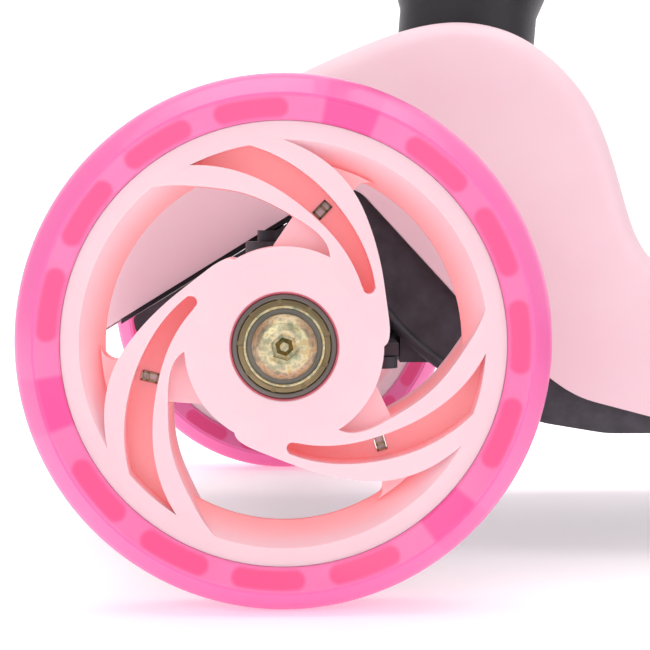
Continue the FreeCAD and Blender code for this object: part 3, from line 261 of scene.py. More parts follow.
def moulded(name, light, dark, rough=0.4, roughSpread=0.12, grainScale=900.0, grainDepth=0.15,
            grainStep=0.0002,
            waviness=0.3, metal=0.0, glow=0.0, glowReach=0.004, coat=0.0, paleEdge=None, shine=0.5):
    material, tree, shader, coords = newMaterial(name)
    grain = placed(tree, grainGroup, Scale=grainScale, Waviness=waviness)
    colour = placed(tree, tintGroup, From=linear(*dark), To=linear(*light), Low=0.32, High=0.68)
    tree.links.new(coords.outputs["Object"], grain.inputs["Vector"])
    tree.links.new(grain.outputs["Cloud"], colour.inputs["Mask"])
    last = colour
    # paler patches along convex edges, where a pale edge colour is given
    if paleEdge:
        last = placed(tree, paleEdgeGroup, Rubbed=linear(*paleEdge), Amount=0.7)
        tree.links.new(coords.outputs["Object"], last.inputs["Vector"])
        tree.links.new(colour.outputs["Color"], last.inputs["Color"])
    tree.links.new(last.outputs["Color"], shader.inputs["Base Color"])
    span = tree.nodes.new("ShaderNodeMapRange")
    span.inputs["To Min"].default_value = rough - roughSpread
    span.inputs["To Max"].default_value = rough + roughSpread
    tree.links.new(grain.outputs["Height"], span.inputs["Value"])
    tree.links.new(span.outputs["Result"], shader.inputs["Roughness"])
    bump = tree.nodes.new("ShaderNodeBump")
    bump.inputs["Strength"].default_value = grainDepth
    bump.inputs["Distance"].default_value = grainStep
    tree.links.new(grain.outputs["Height"], bump.inputs["Height"])
    tree.links.new(bump.outputs["Normal"], shader.inputs["Normal"])
    shader.inputs["Metallic"].default_value = metal
    shader.inputs["Specular IOR Level"].default_value = shine
    shader.inputs["Coat Weight"].default_value = coat
    if glow:
        shader.inputs["Subsurface Weight"].default_value = glow
        shader.inputs["Subsurface Radius"].default_value = (1.0, 0.45, 0.5)
        shader.inputs["Subsurface Scale"].default_value = glowReach
    return material


def castUrethane(name, centre, flip):
    # translucent tyre: the pale tongue inside shows between its darker windows
    material, tree, shader, coords = newMaterial(name)
    shift = tree.nodes.new("ShaderNodeMapping")
    shift.inputs["Scale"].default_value = (1, 1, flip)
    shift.inputs["Location"].default_value = (-centre.x, -centre.y, -centre.z * flip)
    windows = placed(tree, windowGroup)
    grain = placed(tree, grainGroup, Scale=700.0, Waviness=0.6)
    body = placed(tree, tintGroup, From=linear(250, 120, 178), To=linear(251, 130, 186))
    treadMix = placed(tree, tintGroup, To=linear(251, 112, 180), Low=0.0, High=0.8)
    windowMix = placed(tree, tintGroup, To=linear(247, 80, 142), Low=0.0, High=1.12)
    lampMix = placed(tree, tintGroup, To=linear(247, 72, 156), Low=0.0, High=1.2)
    tree.links.new(coords.outputs["Object"], shift.inputs["Vector"])
    tree.links.new(shift.outputs["Vector"], windows.inputs["Vector"])
    tree.links.new(coords.outputs["Object"], grain.inputs["Vector"])
    tree.links.new(grain.outputs["Cloud"], body.inputs["Mask"])
    tree.links.new(body.outputs["Color"], treadMix.inputs["From"])
    tree.links.new(windows.outputs["Tread"], treadMix.inputs["Mask"])
    tree.links.new(treadMix.outputs["Color"], windowMix.inputs["From"])
    tree.links.new(windows.outputs["Window"], windowMix.inputs["Mask"])
    tree.links.new(windowMix.outputs["Color"], lampMix.inputs["From"])
    tree.links.new(windows.outputs["Lamp"], lampMix.inputs["Mask"])
    tree.links.new(lampMix.outputs["Color"], shader.inputs["Base Color"])
    span = tree.nodes.new("ShaderNodeMapRange")
    span.inputs["To Min"].default_value = 0.3
    span.inputs["To Max"].default_value = 0.46
    tree.links.new(grain.outputs["Height"], span.inputs["Value"])
    tree.links.new(span.outputs["Result"], shader.inputs["Roughness"])
    bump = tree.nodes.new("ShaderNodeBump")
    bump.inputs["Strength"].default_value = 0.12
    bump.inputs["Distance"].default_value = 0.0002
    tree.links.new(grain.outputs["Height"], bump.inputs["Height"])
    tree.links.new(bump.outputs["Normal"], shader.inputs["Normal"])
    shader.inputs["Subsurface Weight"].default_value = 0.25
    shader.inputs["Subsurface Radius"].default_value = (1.0, 0.3, 0.6)
    shader.inputs["Subsurface Scale"].default_value = 0.0022
    shader.inputs["Coat Weight"].default_value = 0.2
    return material


def castCore(name, centre):
    # pale pink core whose cored-out hollows get a painted warm salmon shade and a painted glow, standing in
    # for light bounced about inside them, and a darker painted shade ring round its bearing
    material, tree, shader, coords = newMaterial(name)
    shift = tree.nodes.new("ShaderNodeMapping")
    shift.inputs["Location"].default_value = -centre
    recess = placed(tree, recessGroup)
    grain = placed(tree, grainGroup, Scale=1100.0, Waviness=0.3)
    face = placed(tree, tintGroup, From=linear(248, 208, 216), To=linear(250, 213, 220), Low=0.32,
                  High=0.68)
    # painted shade: the deeper a point lies in a hollow, the more it drifts to salmon, as bounced light would
    # tint it
    paintedHollowShade = placed(tree, tintGroup, To=linear(254, 184, 188), Low=0.0, High=1.0)
    # painted shade: the ring round the bearing is darkened
    ring = placed(tree, tintGroup, To=linear(236, 120, 136), Low=0.0, High=1.0)
    # painted glow: the deep hollows emit warm pink light, though nothing there is a lamp
    shine = placed(tree, tintGroup, From=(0, 0, 0, 1), To=linear(255, 128, 122), Low=0.0, High=1.0)
    tree.links.new(coords.outputs["Object"], shift.inputs["Vector"])
    tree.links.new(shift.outputs["Vector"], recess.inputs["Vector"])
    tree.links.new(coords.outputs["Object"], grain.inputs["Vector"])
    tree.links.new(grain.outputs["Cloud"], face.inputs["Mask"])
    tree.links.new(face.outputs["Color"], paintedHollowShade.inputs["From"])
    tree.links.new(recess.outputs["Deep"], paintedHollowShade.inputs["Mask"])
    tree.links.new(paintedHollowShade.outputs["Color"], ring.inputs["From"])
    tree.links.new(recess.outputs["Ring"], ring.inputs["Mask"])
    tree.links.new(ring.outputs["Color"], shader.inputs["Base Color"])
    # the painted glow of the hollows goes into the emission
    tree.links.new(recess.outputs["Deep"], shine.inputs["Mask"])
    tree.links.new(shine.outputs["Color"], shader.inputs["Emission Color"])
    shader.inputs["Emission Strength"].default_value = 0.12
    span = tree.nodes.new("ShaderNodeMapRange")
    span.inputs["To Min"].default_value = 0.3
    span.inputs["To Max"].default_value = 0.5
    tree.links.new(grain.outputs["Height"], span.inputs["Value"])
    tree.links.new(span.outputs["Result"], shader.inputs["Roughness"])
    bump = tree.nodes.new("ShaderNodeBump")
    bump.inputs["Strength"].default_value = 0.12
    bump.inputs["Distance"].default_value = 0.0002
    tree.links.new(grain.outputs["Height"], bump.inputs["Height"])
    tree.links.new(bump.outputs["Normal"], shader.inputs["Normal"])
    shader.inputs["Subsurface Weight"].default_value = 0.3
    shader.inputs["Subsurface Radius"].default_value = (1.0, 0.35, 0.35)
    shader.inputs["Subsurface Scale"].default_value = 0.004
    return material


def chromated(name):
    # yellow chromate on zinc: patches of gold, green-grey and rose over a finely spun face
    material, tree, shader, coords = newMaterial(name)
    grain = placed(tree, grainGroup, Scale=2600.0, Waviness=0.15)
    patch = tree.nodes.new("ShaderNodeTexNoise")
    patch.inputs["Scale"].default_value = 620.0
    patch.inputs["Detail"].default_value = 3.0
    film = tree.nodes.new("ShaderNodeValToRGB")
    stops = film.color_ramp.elements
    stops[0].position, stops[0].color = 0.3, linear(150, 158, 132)
    stops[1].position, stops[1].color = 0.72, linear(200, 172, 140)
    for at, shade in ((0.44, (186, 178, 144)), (0.52, (214, 204, 168)), (0.6, (196, 178, 128))):
        stops.new(at).color = linear(*shade)
    tree.links.new(coords.outputs["Object"], patch.inputs["Vector"])
    tree.links.new(coords.outputs["Object"], grain.inputs["Vector"])
    tree.links.new(patch.outputs["Fac"], film.inputs["Fac"])
    tree.links.new(film.outputs["Color"], shader.inputs["Base Color"])
    span = tree.nodes.new("ShaderNodeMapRange")
    span.inputs["To Min"].default_value = 0.24
    span.inputs["To Max"].default_value = 0.5
    tree.links.new(grain.outputs["Height"], span.inputs["Value"])
    tree.links.new(span.outputs["Result"], shader.inputs["Roughness"])
    bump = tree.nodes.new("ShaderNodeBump")
    bump.inputs["Strength"].default_value = 0.35
    bump.inputs["Distance"].default_value = 0.0001
    tree.links.new(grain.outputs["Height"], bump.inputs["Height"])
    tree.links.new(bump.outputs["Normal"], shader.inputs["Normal"])
    shader.inputs["Metallic"].default_value = 1.0
    return material


def leathered(name, light, dark, rough):
    # black moulding with a leather-like skin: small uneven cells and a faint grey bloom
    material, tree, shader, coords = newMaterial(name)
    cells = tree.nodes.new("ShaderNodeTexVoronoi")
    cells.feature = "SMOOTH_F1"
    cells.inputs["Scale"].default_value = 620.0
    cells.inputs["Smoothness"].default_value = 0.35
    grain = placed(tree, grainGroup, Scale=260.0, Waviness=0.15)
    colour = placed(tree, tintGroup, From=linear(*dark), To=linear(*light), Low=0.42, High=0.72)
    # paler patches along convex edges
    paleEdgeMix = placed(tree, paleEdgeGroup, Rubbed=linear(96, 94, 102), Amount=0.6)
    height = tree.nodes.new("ShaderNodeMath")
    height.operation = "MULTIPLY_ADD"
    height.inputs[1].default_value = 0.7
    tree.links.new(coords.outputs["Object"], cells.inputs["Vector"])
    tree.links.new(coords.outputs["Object"], grain.inputs["Vector"])
    tree.links.new(coords.outputs["Object"], paleEdgeMix.inputs["Vector"])
    tree.links.new(grain.outputs["Height"], colour.inputs["Mask"])
    tree.links.new(colour.outputs["Color"], paleEdgeMix.inputs["Color"])
    tree.links.new(paleEdgeMix.outputs["Color"], shader.inputs["Base Color"])
    tree.links.new(cells.outputs["Distance"], height.inputs[0])
    tree.links.new(grain.outputs["Height"], height.inputs[2])
    span = tree.nodes.new("ShaderNodeMapRange")
    span.inputs["To Min"].default_value = rough - 0.08
    span.inputs["To Max"].default_value = rough + 0.14
    tree.links.new(grain.outputs["Height"], span.inputs["Value"])
    tree.links.new(span.outputs["Result"], shader.inputs["Roughness"])
    bump = tree.nodes.new("ShaderNodeBump")
    bump.inputs["Strength"].default_value = 0.5
    bump.inputs["Distance"].default_value = 0.00035
    tree.links.new(height.outputs[0], bump.inputs["Height"])
    tree.links.new(bump.outputs["Normal"], shader.inputs["Normal"])
    return material


finish = {
    "coverPink": moulded("coverPink", (247, 214, 222), (245, 209, 218), rough=0.42, grainScale=1400,
                         grainDepth=0.12, glow=0.12),
    "wheelPink": moulded("wheelPink", (253, 204, 209), (252, 198, 204), rough=0.36, grainScale=1100,
                         grainDepth=0.1, glow=0.3),
    "black": moulded("blackMoulding", (38, 37, 44), (27, 26, 32), rough=0.42, grainScale=1500,
                     grainDepth=0.35,
                     paleEdge=(92, 90, 98)),
    "deckBlack": moulded("deckBlack", (34, 34, 38), (24, 24, 28), rough=0.5, grainScale=1100,
                         grainDepth=0.45,
                         paleEdge=(88, 88, 92)),
    "deckMat": moulded("deckMat", (54, 54, 58), (40, 40, 44), rough=0.72, grainScale=1900, grainDepth=0.6),
    "gripPink": moulded("gripPink", (246, 178, 198), (238, 164, 186), rough=0.62, grainScale=1300,
                        grainDepth=0.5, glow=0.1),
    "buttonPink": moulded("buttonPink", (248, 176, 196), (242, 158, 182), rough=0.34, grainScale=900,
                          grainDepth=0.12, glow=0.1),
    "rearCast": moulded("rearCast", (250, 150, 190), (246, 120, 168), rough=0.34, grainScale=700,
                        grainDepth=0.1, glow=0.4),
    "zinc": moulded("zincPlate", (196, 198, 202), (170, 172, 178), rough=0.3, grainScale=700,
                    grainDepth=0.1, metal=1.0),
    "blackSteel": moulded("blackSteel", (60, 60, 64), (44, 44, 48), rough=0.36, grainScale=800,
                          grainDepth=0.12, metal=0.8),
    "tubeBlack": moulded("tubeCoat", (40, 40, 44), (35, 35, 39), rough=0.38, grainScale=2200,
                         grainDepth=0.25, coat=0.15),
    "lamp": moulded("lampBlock", (246, 236, 244), (232, 214, 228), rough=0.25, grainScale=500,
                    grainDepth=0.05, glow=0.2),
    "crimpBronze": moulded("crimpBronze", (158, 142, 108), (122, 106, 80), rough=0.32, grainScale=600,
                           grainDepth=0.1,
                           metal=1.0),
    "raceSteel": moulded("raceSteel", (134, 126, 122), (108, 102, 98), rough=0.34, grainScale=600,
                         grainDepth=0.1, metal=1.0),
    "panelBlack": leathered("panelBlack", (50, 49, 58), (24, 23, 31), 0.42),
    "shieldGrey": moulded("shieldGrey", (150, 146, 138), (122, 118, 110), rough=0.5, grainScale=900,
                          grainDepth=0.1, metal=0.5),
    "goldZinc": chromated("yellowZinc"),
}
print("finishes ready")

wheelNodes = {"wheel_core": "wheelPink", "led_modules": "lamp", "tyre": "rearCast", "bearing_outer": "zinc",
              "bearing_inner": "zinc", "axle_sleeve": "zinc", "magnet_ring": "blackSteel",
              "wheel_bolt": "goldZinc",
              "knuckle": "black", "grip": "gripPink"}
nodeFinish = {
    "axle_beam": "black", "kingpins": "blackSteel", "beam_bolts": "blackSteel", "tie_rod": "black",
    "front_cover": "coverPink",
    "cover_screws": "blackSteel", "lower_frame": "panelBlack", "lean_pivot_pin": "zinc",
    "steering_post": "black",
    "post_shield": "black", "centring_springs": "zinc", "deck": "deckBlack", "deck_mat": "deckMat",
    "fork_screws": "zinc", "rear_wheel_core": "wheelPink", "rear_tyre": "rearCast",
    "rear_bearing_outer": "zinc",
    "rear_bearing_inner": "zinc", "rear_axle_sleeve": "zinc", "rear_axle_spacers": "zinc",
    "rear_axle_bolt": "zinc",
    "rear_axle_nut": "zinc", "rear_fork": "black", "brake_fender": "buttonPink", "brake_pin": "zinc",
    "brake_lugs": "black", "brake_spring": "zinc", "fold_base": "black", "fold_head": "black",
    "fold_pin": "zinc",
    "fold_button": "buttonPink", "lower_tube": "tubeBlack", "tube_clamp": "black", "clamp_bolt": "zinc",
    "clamp_lever": "buttonPink", "upper_tube": "tubeBlack", "tube_bush": "black", "bar_joint": "black",
    "crossbar": "tubeBlack"}
for word, name in wheelNodes.items():
    for side in ("left", "right"):
        nodeFinish[word + "_" + side] = name
for name, part in nodes.items():
    material = finish[nodeFinish[name]]
    if part.material_slots:
        for place in part.material_slots:
            place.material = material
    else:
        part.data.materials.append(material)
print("nodes finished")

# solid pieces: profiles are in millimetres, with Z along the axle, pointing out of the scooter

def eased(corners, closed=True, steps=5):
    # rounds each corner given with a radius
    points = []
    for i, corner in enumerate(corners):
        here = Vector(corner[:2])
        if len(corner) < 3 or (not closed and i in (0, len(corners) - 1)):
            points.append(here)
            continue
        back = (Vector(corners[i - 1][:2]) - here).normalized()
        ahead = (Vector(corners[(i + 1) % len(corners)][:2]) - here).normalized()
        run = corner[2] / math.tan(back.angle(ahead) / 2)
        start, end = here + back * run, here + ahead * run
        for step in range(steps + 1):
            t = step / steps
            points.append(start * (1 - t) ** 2 + here * 2 * t * (1 - t) + end * t * t)
    return points


def turned(bm, corners, closed=True, steps=160, arc=360.0, capped=False):
    rims = [bm.verts.new((p.x, 0, p.y)) for p in eased(corners, closed)]
    edges = [bm.edges.new(pair) for pair in zip(rims, rims[1:])]
    if closed:
        edges.append(bm.edges.new((rims[-1], rims[0])))
    full = arc >= 360.0
    made = bmesh.ops.spin(bm, geom=rims + edges, cent=(0, 0, 0), axis=(0, 0, 1), angle=math.radians(arc),
                          steps=steps, use_merge=full, use_duplicate=False)
    if capped:
        ends = [g for g in made["geom_last"] if isinstance(g, bmesh.types.BMEdge)]
        bmesh.ops.holes_fill(bm, edges=edges + ends, sides=0)
    return rims


def finished(name, bm, material, body, hides=(), to=None, sharp=32, mend=True):
    bmesh.ops.remove_doubles(bm, verts=bm.verts, dist=0.0005)
    if mend:
        bmesh.ops.recalc_face_normals(bm, faces=bm.faces)
    if to is not None:
        bmesh.ops.transform(bm, matrix=to @ Matrix.Scale(0.001, 4), verts=bm.verts)
    mesh = bpy.data.meshes.new(name)
    bm.to_mesh(mesh)
    bm.free()
    mesh.shade_smooth()
    mesh.set_sharp_from_angle(angle=math.radians(sharp))
    mesh.materials.append(material)
    made = bpy.data.objects.new(name, mesh)
    bpy.context.scene.collection.objects.link(made)
    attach(made, body)
    if hides:
        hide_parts(*hides)
    return made


def softened(node, material, body, width=0.0004, segments=2, flat=1.5, angle=30, sharp=35):
    # a copy of a moulding with its edges eased, so they catch the light
    bm = bmesh.new()
    bm.from_mesh(nodes[node].data)
    bmesh.ops.remove_doubles(bm, verts=bm.verts, dist=0.00001)
    bmesh.ops.dissolve_limit(bm, angle_limit=math.radians(flat), use_dissolve_boundaries=False,
                             verts=bm.verts, edges=bm.edges)
    mesh = bpy.data.meshes.new(node + "_eased")
    bm.to_mesh(mesh)
    bm.free()
    mesh.shade_smooth()
    mesh.set_sharp_from_angle(angle=math.radians(sharp))
    mesh.materials.append(material)
    made = bpy.data.objects.new(node + "_eased", mesh)
    bpy.context.scene.collection.objects.link(made)
    edge = made.modifiers.new("easedEdges", "BEVEL")
    edge.width = width
    edge.segments = segments
    edge.limit_method = "ANGLE"
    edge.angle_limit = math.radians(angle)
    edge.profile = 0.5
    edge.harden_normals = True
    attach(made, body)
    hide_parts(node)
    return made


def onAxle(side):
    # millimetre wheel space to the scooter: Z points out along the axle
    name = "left" if side < 0 else "right"
    return Matrix.Translation(middle("tyre_" + name)) @ Matrix.Rotation(math.radians(-90 * side), 4, "X")


def rearAxle():
    return Matrix.Translation(middle("rear_tyre")) @ Matrix.Rotation(math.radians(90), 4, "X")


tyreShape = {"bore": 47.05, "boreHalf": 8.1, "bondRadius": 47.5, "bondHalf": 9.15, "crownEdge": 52.2,
             "half": 10.6,
             "radius": 57.5, "treadHalf": 4.0, "steps": 192}


def buildTyre(name, side):
    s = tyreShape
    bm = bmesh.new()
    half = [(s["bore"], s["boreHalf"]), (s["bondRadius"] - 0.35, s["bondHalf"] - 0.5, 0.15),
            (s["bondRadius"], s["bondHalf"], 0.25), (s["crownEdge"] - 0.35, s["half"], 0.25),
            (s["crownEdge"], s["half"] - 0.18, 0.12), (s["crownEdge"] + 0.5, s["half"] - 0.12, 0.3),
            (s["radius"], s["treadHalf"], 8.4)]
    turned(bm, half + [(c[0], -c[1]) + c[2:] for c in reversed(half)], steps=s["steps"])
    finished("castTyre_" + name, bm, castTyre[name], "wheel_" + name, ("tyre_" + name,),
             onAxle(side), sharp=50)


bearingShape = {"face": 12.3, "wide": 7.0, "outer": 11.0, "raceIn": 9.85, "crimpIn": 8.5, "crimpOut": 9.8,
                "bead": 8.2,
                "beadRadius": 0.32, "shieldIn": 5.9, "notches": 9, "gap": 5.5}


def buildBearings(name, body, to, face, hides):
    s = bearingShape
    rings, shield, crimp, bead = bmesh.new(), bmesh.new(), bmesh.new(), bmesh.new()
    for way in (1, -1):
        far, near = way * face, way * (face - s["wide"])
        turned(rings, [(s["raceIn"], near), (s["raceIn"], far - 0.1 * way, 0.08),
                       (s["raceIn"] + 0.15, far, 0.08),
                       (s["outer"] - 0.3, far, 0.12), (s["outer"], far - 0.3 * way, 0.12),
                       (s["outer"], near + 0.3 * way, 0.1),
                       (s["outer"] - 0.3, near)], steps=128)
        turned(shield, [(s["shieldIn"], far - 0.62 * way), (s["bead"], far - 0.62 * way, 0.1),
                       (s["bead"] + 0.35, far - 0.4 * way), (s["bead"] + 0.35, far - 0.9 * way),
                       (s["shieldIn"], far - 0.95 * way)], steps=128)
        span = 360 / s["notches"]
        for k in range(s["notches"]):
            before = set(crimp.verts)
            turned(crimp, [(s["crimpIn"], far - 0.7 * way), (s["crimpIn"], far - 0.12 * way, 0.1),
                           (s["crimpIn"] + 0.25, far - 0.02 * way, 0.1),
                           (s["crimpOut"] - 0.2, far - 0.1 * way, 0.1),
                           (s["crimpOut"], far - 0.3 * way, 0.1), (s["crimpOut"], far - 0.7 * way)],
                   steps=10, arc=span - s["gap"], capped=True)
            piece = [v for v in crimp.verts if v not in before]
            bmesh.ops.rotate(crimp, verts=piece, cent=(0, 0, 0),
                             matrix=Matrix.Rotation(math.radians(16 + s["gap"] / 2 + span * k), 3, "Z"))
        turned(crimp, [(s["crimpIn"] - 0.1, far - 0.95 * way), (s["crimpIn"] - 0.1, far - 0.5 * way),
                       (s["crimpOut"] + 0.08, far - 0.5 * way), (s["crimpOut"] + 0.08, far - 0.95 * way)],
               steps=128)
        r = s["beadRadius"]
        turned(bead, [(s["bead"] - r, far - 0.35 * way, 0.2), (s["bead"] - r, far + 0.02 * way, 0.25),
                      (s["bead"] + r, far + 0.02 * way, 0.25), (s["bead"] + r, far - 0.35 * way, 0.2)],
               steps=128)
    finished("bearingRings_" + name, rings, finish["raceSteel"], body, hides, to)
    finished("bearingShield_" + name, shield, finish["shieldGrey"], body, (), to)
    finished("bearingCrimp_" + name, crimp, finish["crimpBronze"], body, (), to)
    finished("bearingBead_" + name, bead, finish["goldZinc"], body, (), to, sharp=60)


boltShape = {"seat": 12.3, "flange": 6.85, "dome": 3.4, "socket": 2.9, "socketDeep": 2.3, "shank": 3.97,
             "end": -27.0}


def buildWheelBolt(name, side):
    s = boltShape
    bm = bmesh.new()
    top = s["seat"] + s["dome"]
    turned(bm, [(0.0, s["end"]), (s["shank"] - 0.6, s["end"]), (s["shank"], s["end"] + 0.8),
                (s["shank"], s["seat"] - 0.02),
                (s["flange"] - 0.4, s["seat"] - 0.02, 0.1), (s["flange"], s["seat"] + 0.3, 0.25),
                (s["flange"] - 0.02, s["seat"] + 1.0, 0.5), (5.2, top - 0.55, 2.0), (3.6, top, 0.5),
                (3.2, top - 0.12)],
           closed=False, steps=96)
    lip = [e for e in bm.edges if all(abs(v.co.z - (top - 0.12)) < 1e-4 for v in e.verts)
           and all(abs(v.co.to_2d().length - 3.2) < 1e-3 for v in e.verts)]
    key = bmesh.ops.create_circle(bm, cap_ends=False, segments=6, radius=s["socket"],
                                  matrix=Matrix.Translation((0, 0, top - 0.45))
                                  @ Matrix.Rotation(math.radians(12), 4, "Z"))
    corners = list({e for v in key["verts"] for e in v.link_edges})
    bmesh.ops.remove_doubles(bm, verts=bm.verts, dist=0.0005)
    lip = [e for e in lip if e.is_valid]
    bmesh.ops.bridge_loops(bm, edges=lip + corners)
    walls = bmesh.ops.extrude_edge_only(bm, edges=corners)["geom"]
    floor = [g for g in walls if isinstance(g, bmesh.types.BMVert)]
    bmesh.ops.translate(bm, verts=floor, vec=(0, 0, -s["socketDeep"]))
    last = [g for g in walls if isinstance(g, bmesh.types.BMEdge) and all(v in floor for v in g.verts)]
    bottom = bmesh.ops.contextual_create(bm, geom=last)["faces"]
    bmesh.ops.inset_individual(bm, faces=bottom, thickness=0.9, depth=0.0)
    bmesh.ops.inset_individual(bm, faces=bottom, thickness=1.0, depth=-0.9)
    finished("domeBolt_" + name, bm, finish["goldZinc"], "knuckle_" + name, ("wheel_bolt_" + name,),
             onAxle(side))


cornerShape = {"edge": ((60.5, 32.5), (63, 33.5), (66, 34.9), (70, 36.5), (76, 38.9)), "throat": 38.9,
               "low": -3.0,
               "high": 3.4}


def buildCornerWebs(name, side):
    # rounds the sharp corner each opening has between its arm and the rim
    s = cornerShape
    bm = bmesh.new()
    near, far = s["edge"][0][0], s["edge"][-1][0]
    flat = list(s["edge"]) + [(far + (near - far) * k / 8, s["throat"]) for k in range(1, 9)]
    ring = [(out * math.cos(math.radians(turn)), out * math.sin(math.radians(turn))) for turn, out in flat]
    start, end = Vector(ring[-1]), Vector(ring[0])
    middleAt, half = (start + end) / 2, (end - start) / 2
    inward = Vector((half.y, -half.x))
    if inward.dot(Vector(ring[4]) - middleAt) < 0:
        inward = -inward
    for k in range(1, 12):
        swing = math.pi * k / 12
        ring.append(tuple(middleAt - half * math.cos(swing) + inward * math.sin(swing)))
    for k in range(3):
        spot = Matrix.Rotation(math.radians(120 * k), 4, "Z")
        low = [bm.verts.new(spot @ Vector((x, y, s["low"]))) for x, y in ring]
        high = [bm.verts.new(spot @ Vector((x, y, s["high"]))) for x, y in ring]
        bm.faces.new(low[::-1])
        bm.faces.new(high)
        for i in range(len(ring)):
            j = (i + 1) % len(ring)
            bm.faces.new((low[i], low[j], high[j], high[i]))
    bmesh.ops.recalc_face_normals(bm, faces=bm.faces)
    finished("coreWebs_" + name, bm, castCores[name], "wheel_" + name, (), onAxle(side),
             sharp=40)


clipShape = {"out": 29.6, "first": 74.0, "askew": -28.0, "long": 3.5, "wide": 2.0, "wall": 0.32, "low": 1.0,
             "high": 1.9,
             "tab": 0.5}


def buildLampClips(name, side):
    # bent wire frame round each lamp's clip, with a small tab across it; the frame is real, its dark bronze
    # colour is painted shade for the shadow round each clip's hole
    s = clipShape
    bm = bmesh.new()
    tall, level = s["high"] - s["low"], (s["high"] + s["low"]) / 2
    inLong, inWide = (s["long"] - s["wall"]) / 2, (s["wide"] - s["wall"]) / 2
    bars = [(0, inWide, s["long"], s["wall"]), (0, -inWide, s["long"], s["wall"]),
            (inLong, 0, s["wall"], s["wide"]),
            (-inLong, 0, s["wall"], s["wide"]), (0.4, 0, s["tab"], s["wide"] - 0.1)]
    for k in range(3):
        turn = math.radians(s["first"] + 120 * k)
        spot = (Matrix.Translation((s["out"] * math.cos(turn), s["out"] * math.sin(turn), level))
                @ Matrix.Rotation(turn + math.radians(s["askew"]), 4, "Z"))
        for x, y, long, wide in bars:
            bmesh.ops.create_cube(bm, size=1.0, matrix=spot @ Matrix.Translation((x, y, 0))
                                  @ Matrix.Diagonal((long, wide, tall, 1)))
    # painted shade: the frames take the dark bronze finish to stand for the shadow round each clip's hole
    finished("lampClips_" + name, bm, finish["crimpBronze"], "wheel_" + name, (),
             onAxle(side))


gripShape = {"bore": 11.05, "start": 33.0, "flange": 19.5, "flangeWide": 3.5, "body": 15.2, "rib": 16.3,
             "ribPitch": 4.0,
             "ribs": 19, "firstRib": 42.0, "endRadius": 18.5, "end": 146.0}


def buildGrip(name, side):
    s = gripShape
    bm = bmesh.new()
    shape = [(s["bore"], s["start"]), (s["flange"], s["start"], 1.2),
             (s["flange"], s["start"] + s["flangeWide"], 1.2),
             (s["body"], s["start"] + s["flangeWide"] + 2, 1.0)]
    for k in range(s["ribs"]):
        z = s["firstRib"] + s["ribPitch"] * k
        shape += [(s["body"], z, 0.3), (s["rib"], z + 0.7, 0.4), (s["rib"], z + 2.3, 0.4),
                  (s["body"], z + 3.0, 0.3)]
    shape += [(s["body"], 121.0, 2.0), (s["endRadius"], 126.0, 1.5), (s["endRadius"], s["end"], 2.5),
              (s["bore"], s["end"])]
    turned(bm, shape, steps=96)
    to = Matrix.Translation(middle("crossbar")) @ Matrix.Rotation(math.radians(-90 * side), 4, "X")
    finished("ribbedGrip_" + name, bm, finish["gripPink"], "handlebar", ("grip_" + name,),
             to, sharp=50)


matShape = {"pitch": 6.5, "stud": 2.0, "top": 1.5, "high": 0.6, "edge": 5.0, "taperFrom": 0.36,
            "tailHalf": 0.6}


def buildMatStuds():
    s = matShape
    low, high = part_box("deck_mat")
    bm = bmesh.new()
    length, half = (high[0] - low[0]) * 1000, (high[1] - low[1]) * 500
    rows = int((length - 2 * s["edge"]) / s["pitch"])
    for i in range(rows + 1):
        along = s["edge"] + (length - 2 * s["edge"]) * i / rows
        taper = max(0.0, (along / length - (1 - s["taperFrom"])) / s["taperFrom"])
        width = half * (1 - (1 - s["tailHalf"]) * taper) - s["edge"]
        count = int(width / s["pitch"])
        for j in range(-count, count + 1):
            y = (j + (0.5 if i % 2 else 0.0)) * s["pitch"]
            if abs(y) > width:
                continue
            spot = Matrix.Translation((low[0] * 1000 + along, y, high[2] * 1000 + s["high"] / 2 - 0.05))
            bmesh.ops.create_cone(bm, cap_ends=True, cap_tris=False, segments=6, radius1=s["stud"],
                                  radius2=s["top"],
                                  depth=s["high"], matrix=spot)
    finished("matStuds", bm, finish["deckMat"], "frame", (), Matrix.Identity(4))


beadShape = {"points": ((20.5, 68.5), (24.5, 62.0), (29.5, 56.2), (36.0, 50.6), (43.0, 45.6), (50.0, 40.6)),
             "out": 56.9,
             "radius": 1.5}


def buildPanelBead(name, side):
    s = beadShape
    curve = bpy.data.curves.new("bead_" + name, "CURVE")
    curve.dimensions = "3D"
    curve.bevel_depth = s["radius"] / 1000
    curve.bevel_resolution = 5
    curve.use_fill_caps = True
    line = curve.splines.new("NURBS")
    line.points.add(len(s["points"]) - 1)
    axle = middle("tyre_" + name)
    for point, (x, z) in zip(line.points, s["points"]):
        point.co = (axle.x + x / 1000, s["out"] * side / 1000, z / 1000, 1)
    line.order_u = 3
    line.use_endpoint_u = True
    holder = bpy.data.objects.new("bead_" + name, curve)
    bpy.context.scene.collection.objects.link(holder)
    mesh = bpy.data.meshes.new_from_object(holder.evaluated_get(bpy.context.evaluated_depsgraph_get()))
    bpy.data.objects.remove(holder)
    mesh.name = "panelBead_" + name
    mesh.materials.clear()
    mesh.materials.append(finish["panelBlack"])
    mesh.shade_smooth()
    made = bpy.data.objects.new("panelBead_" + name, mesh)
    bpy.context.scene.collection.objects.link(made)
    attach(made, "frame")


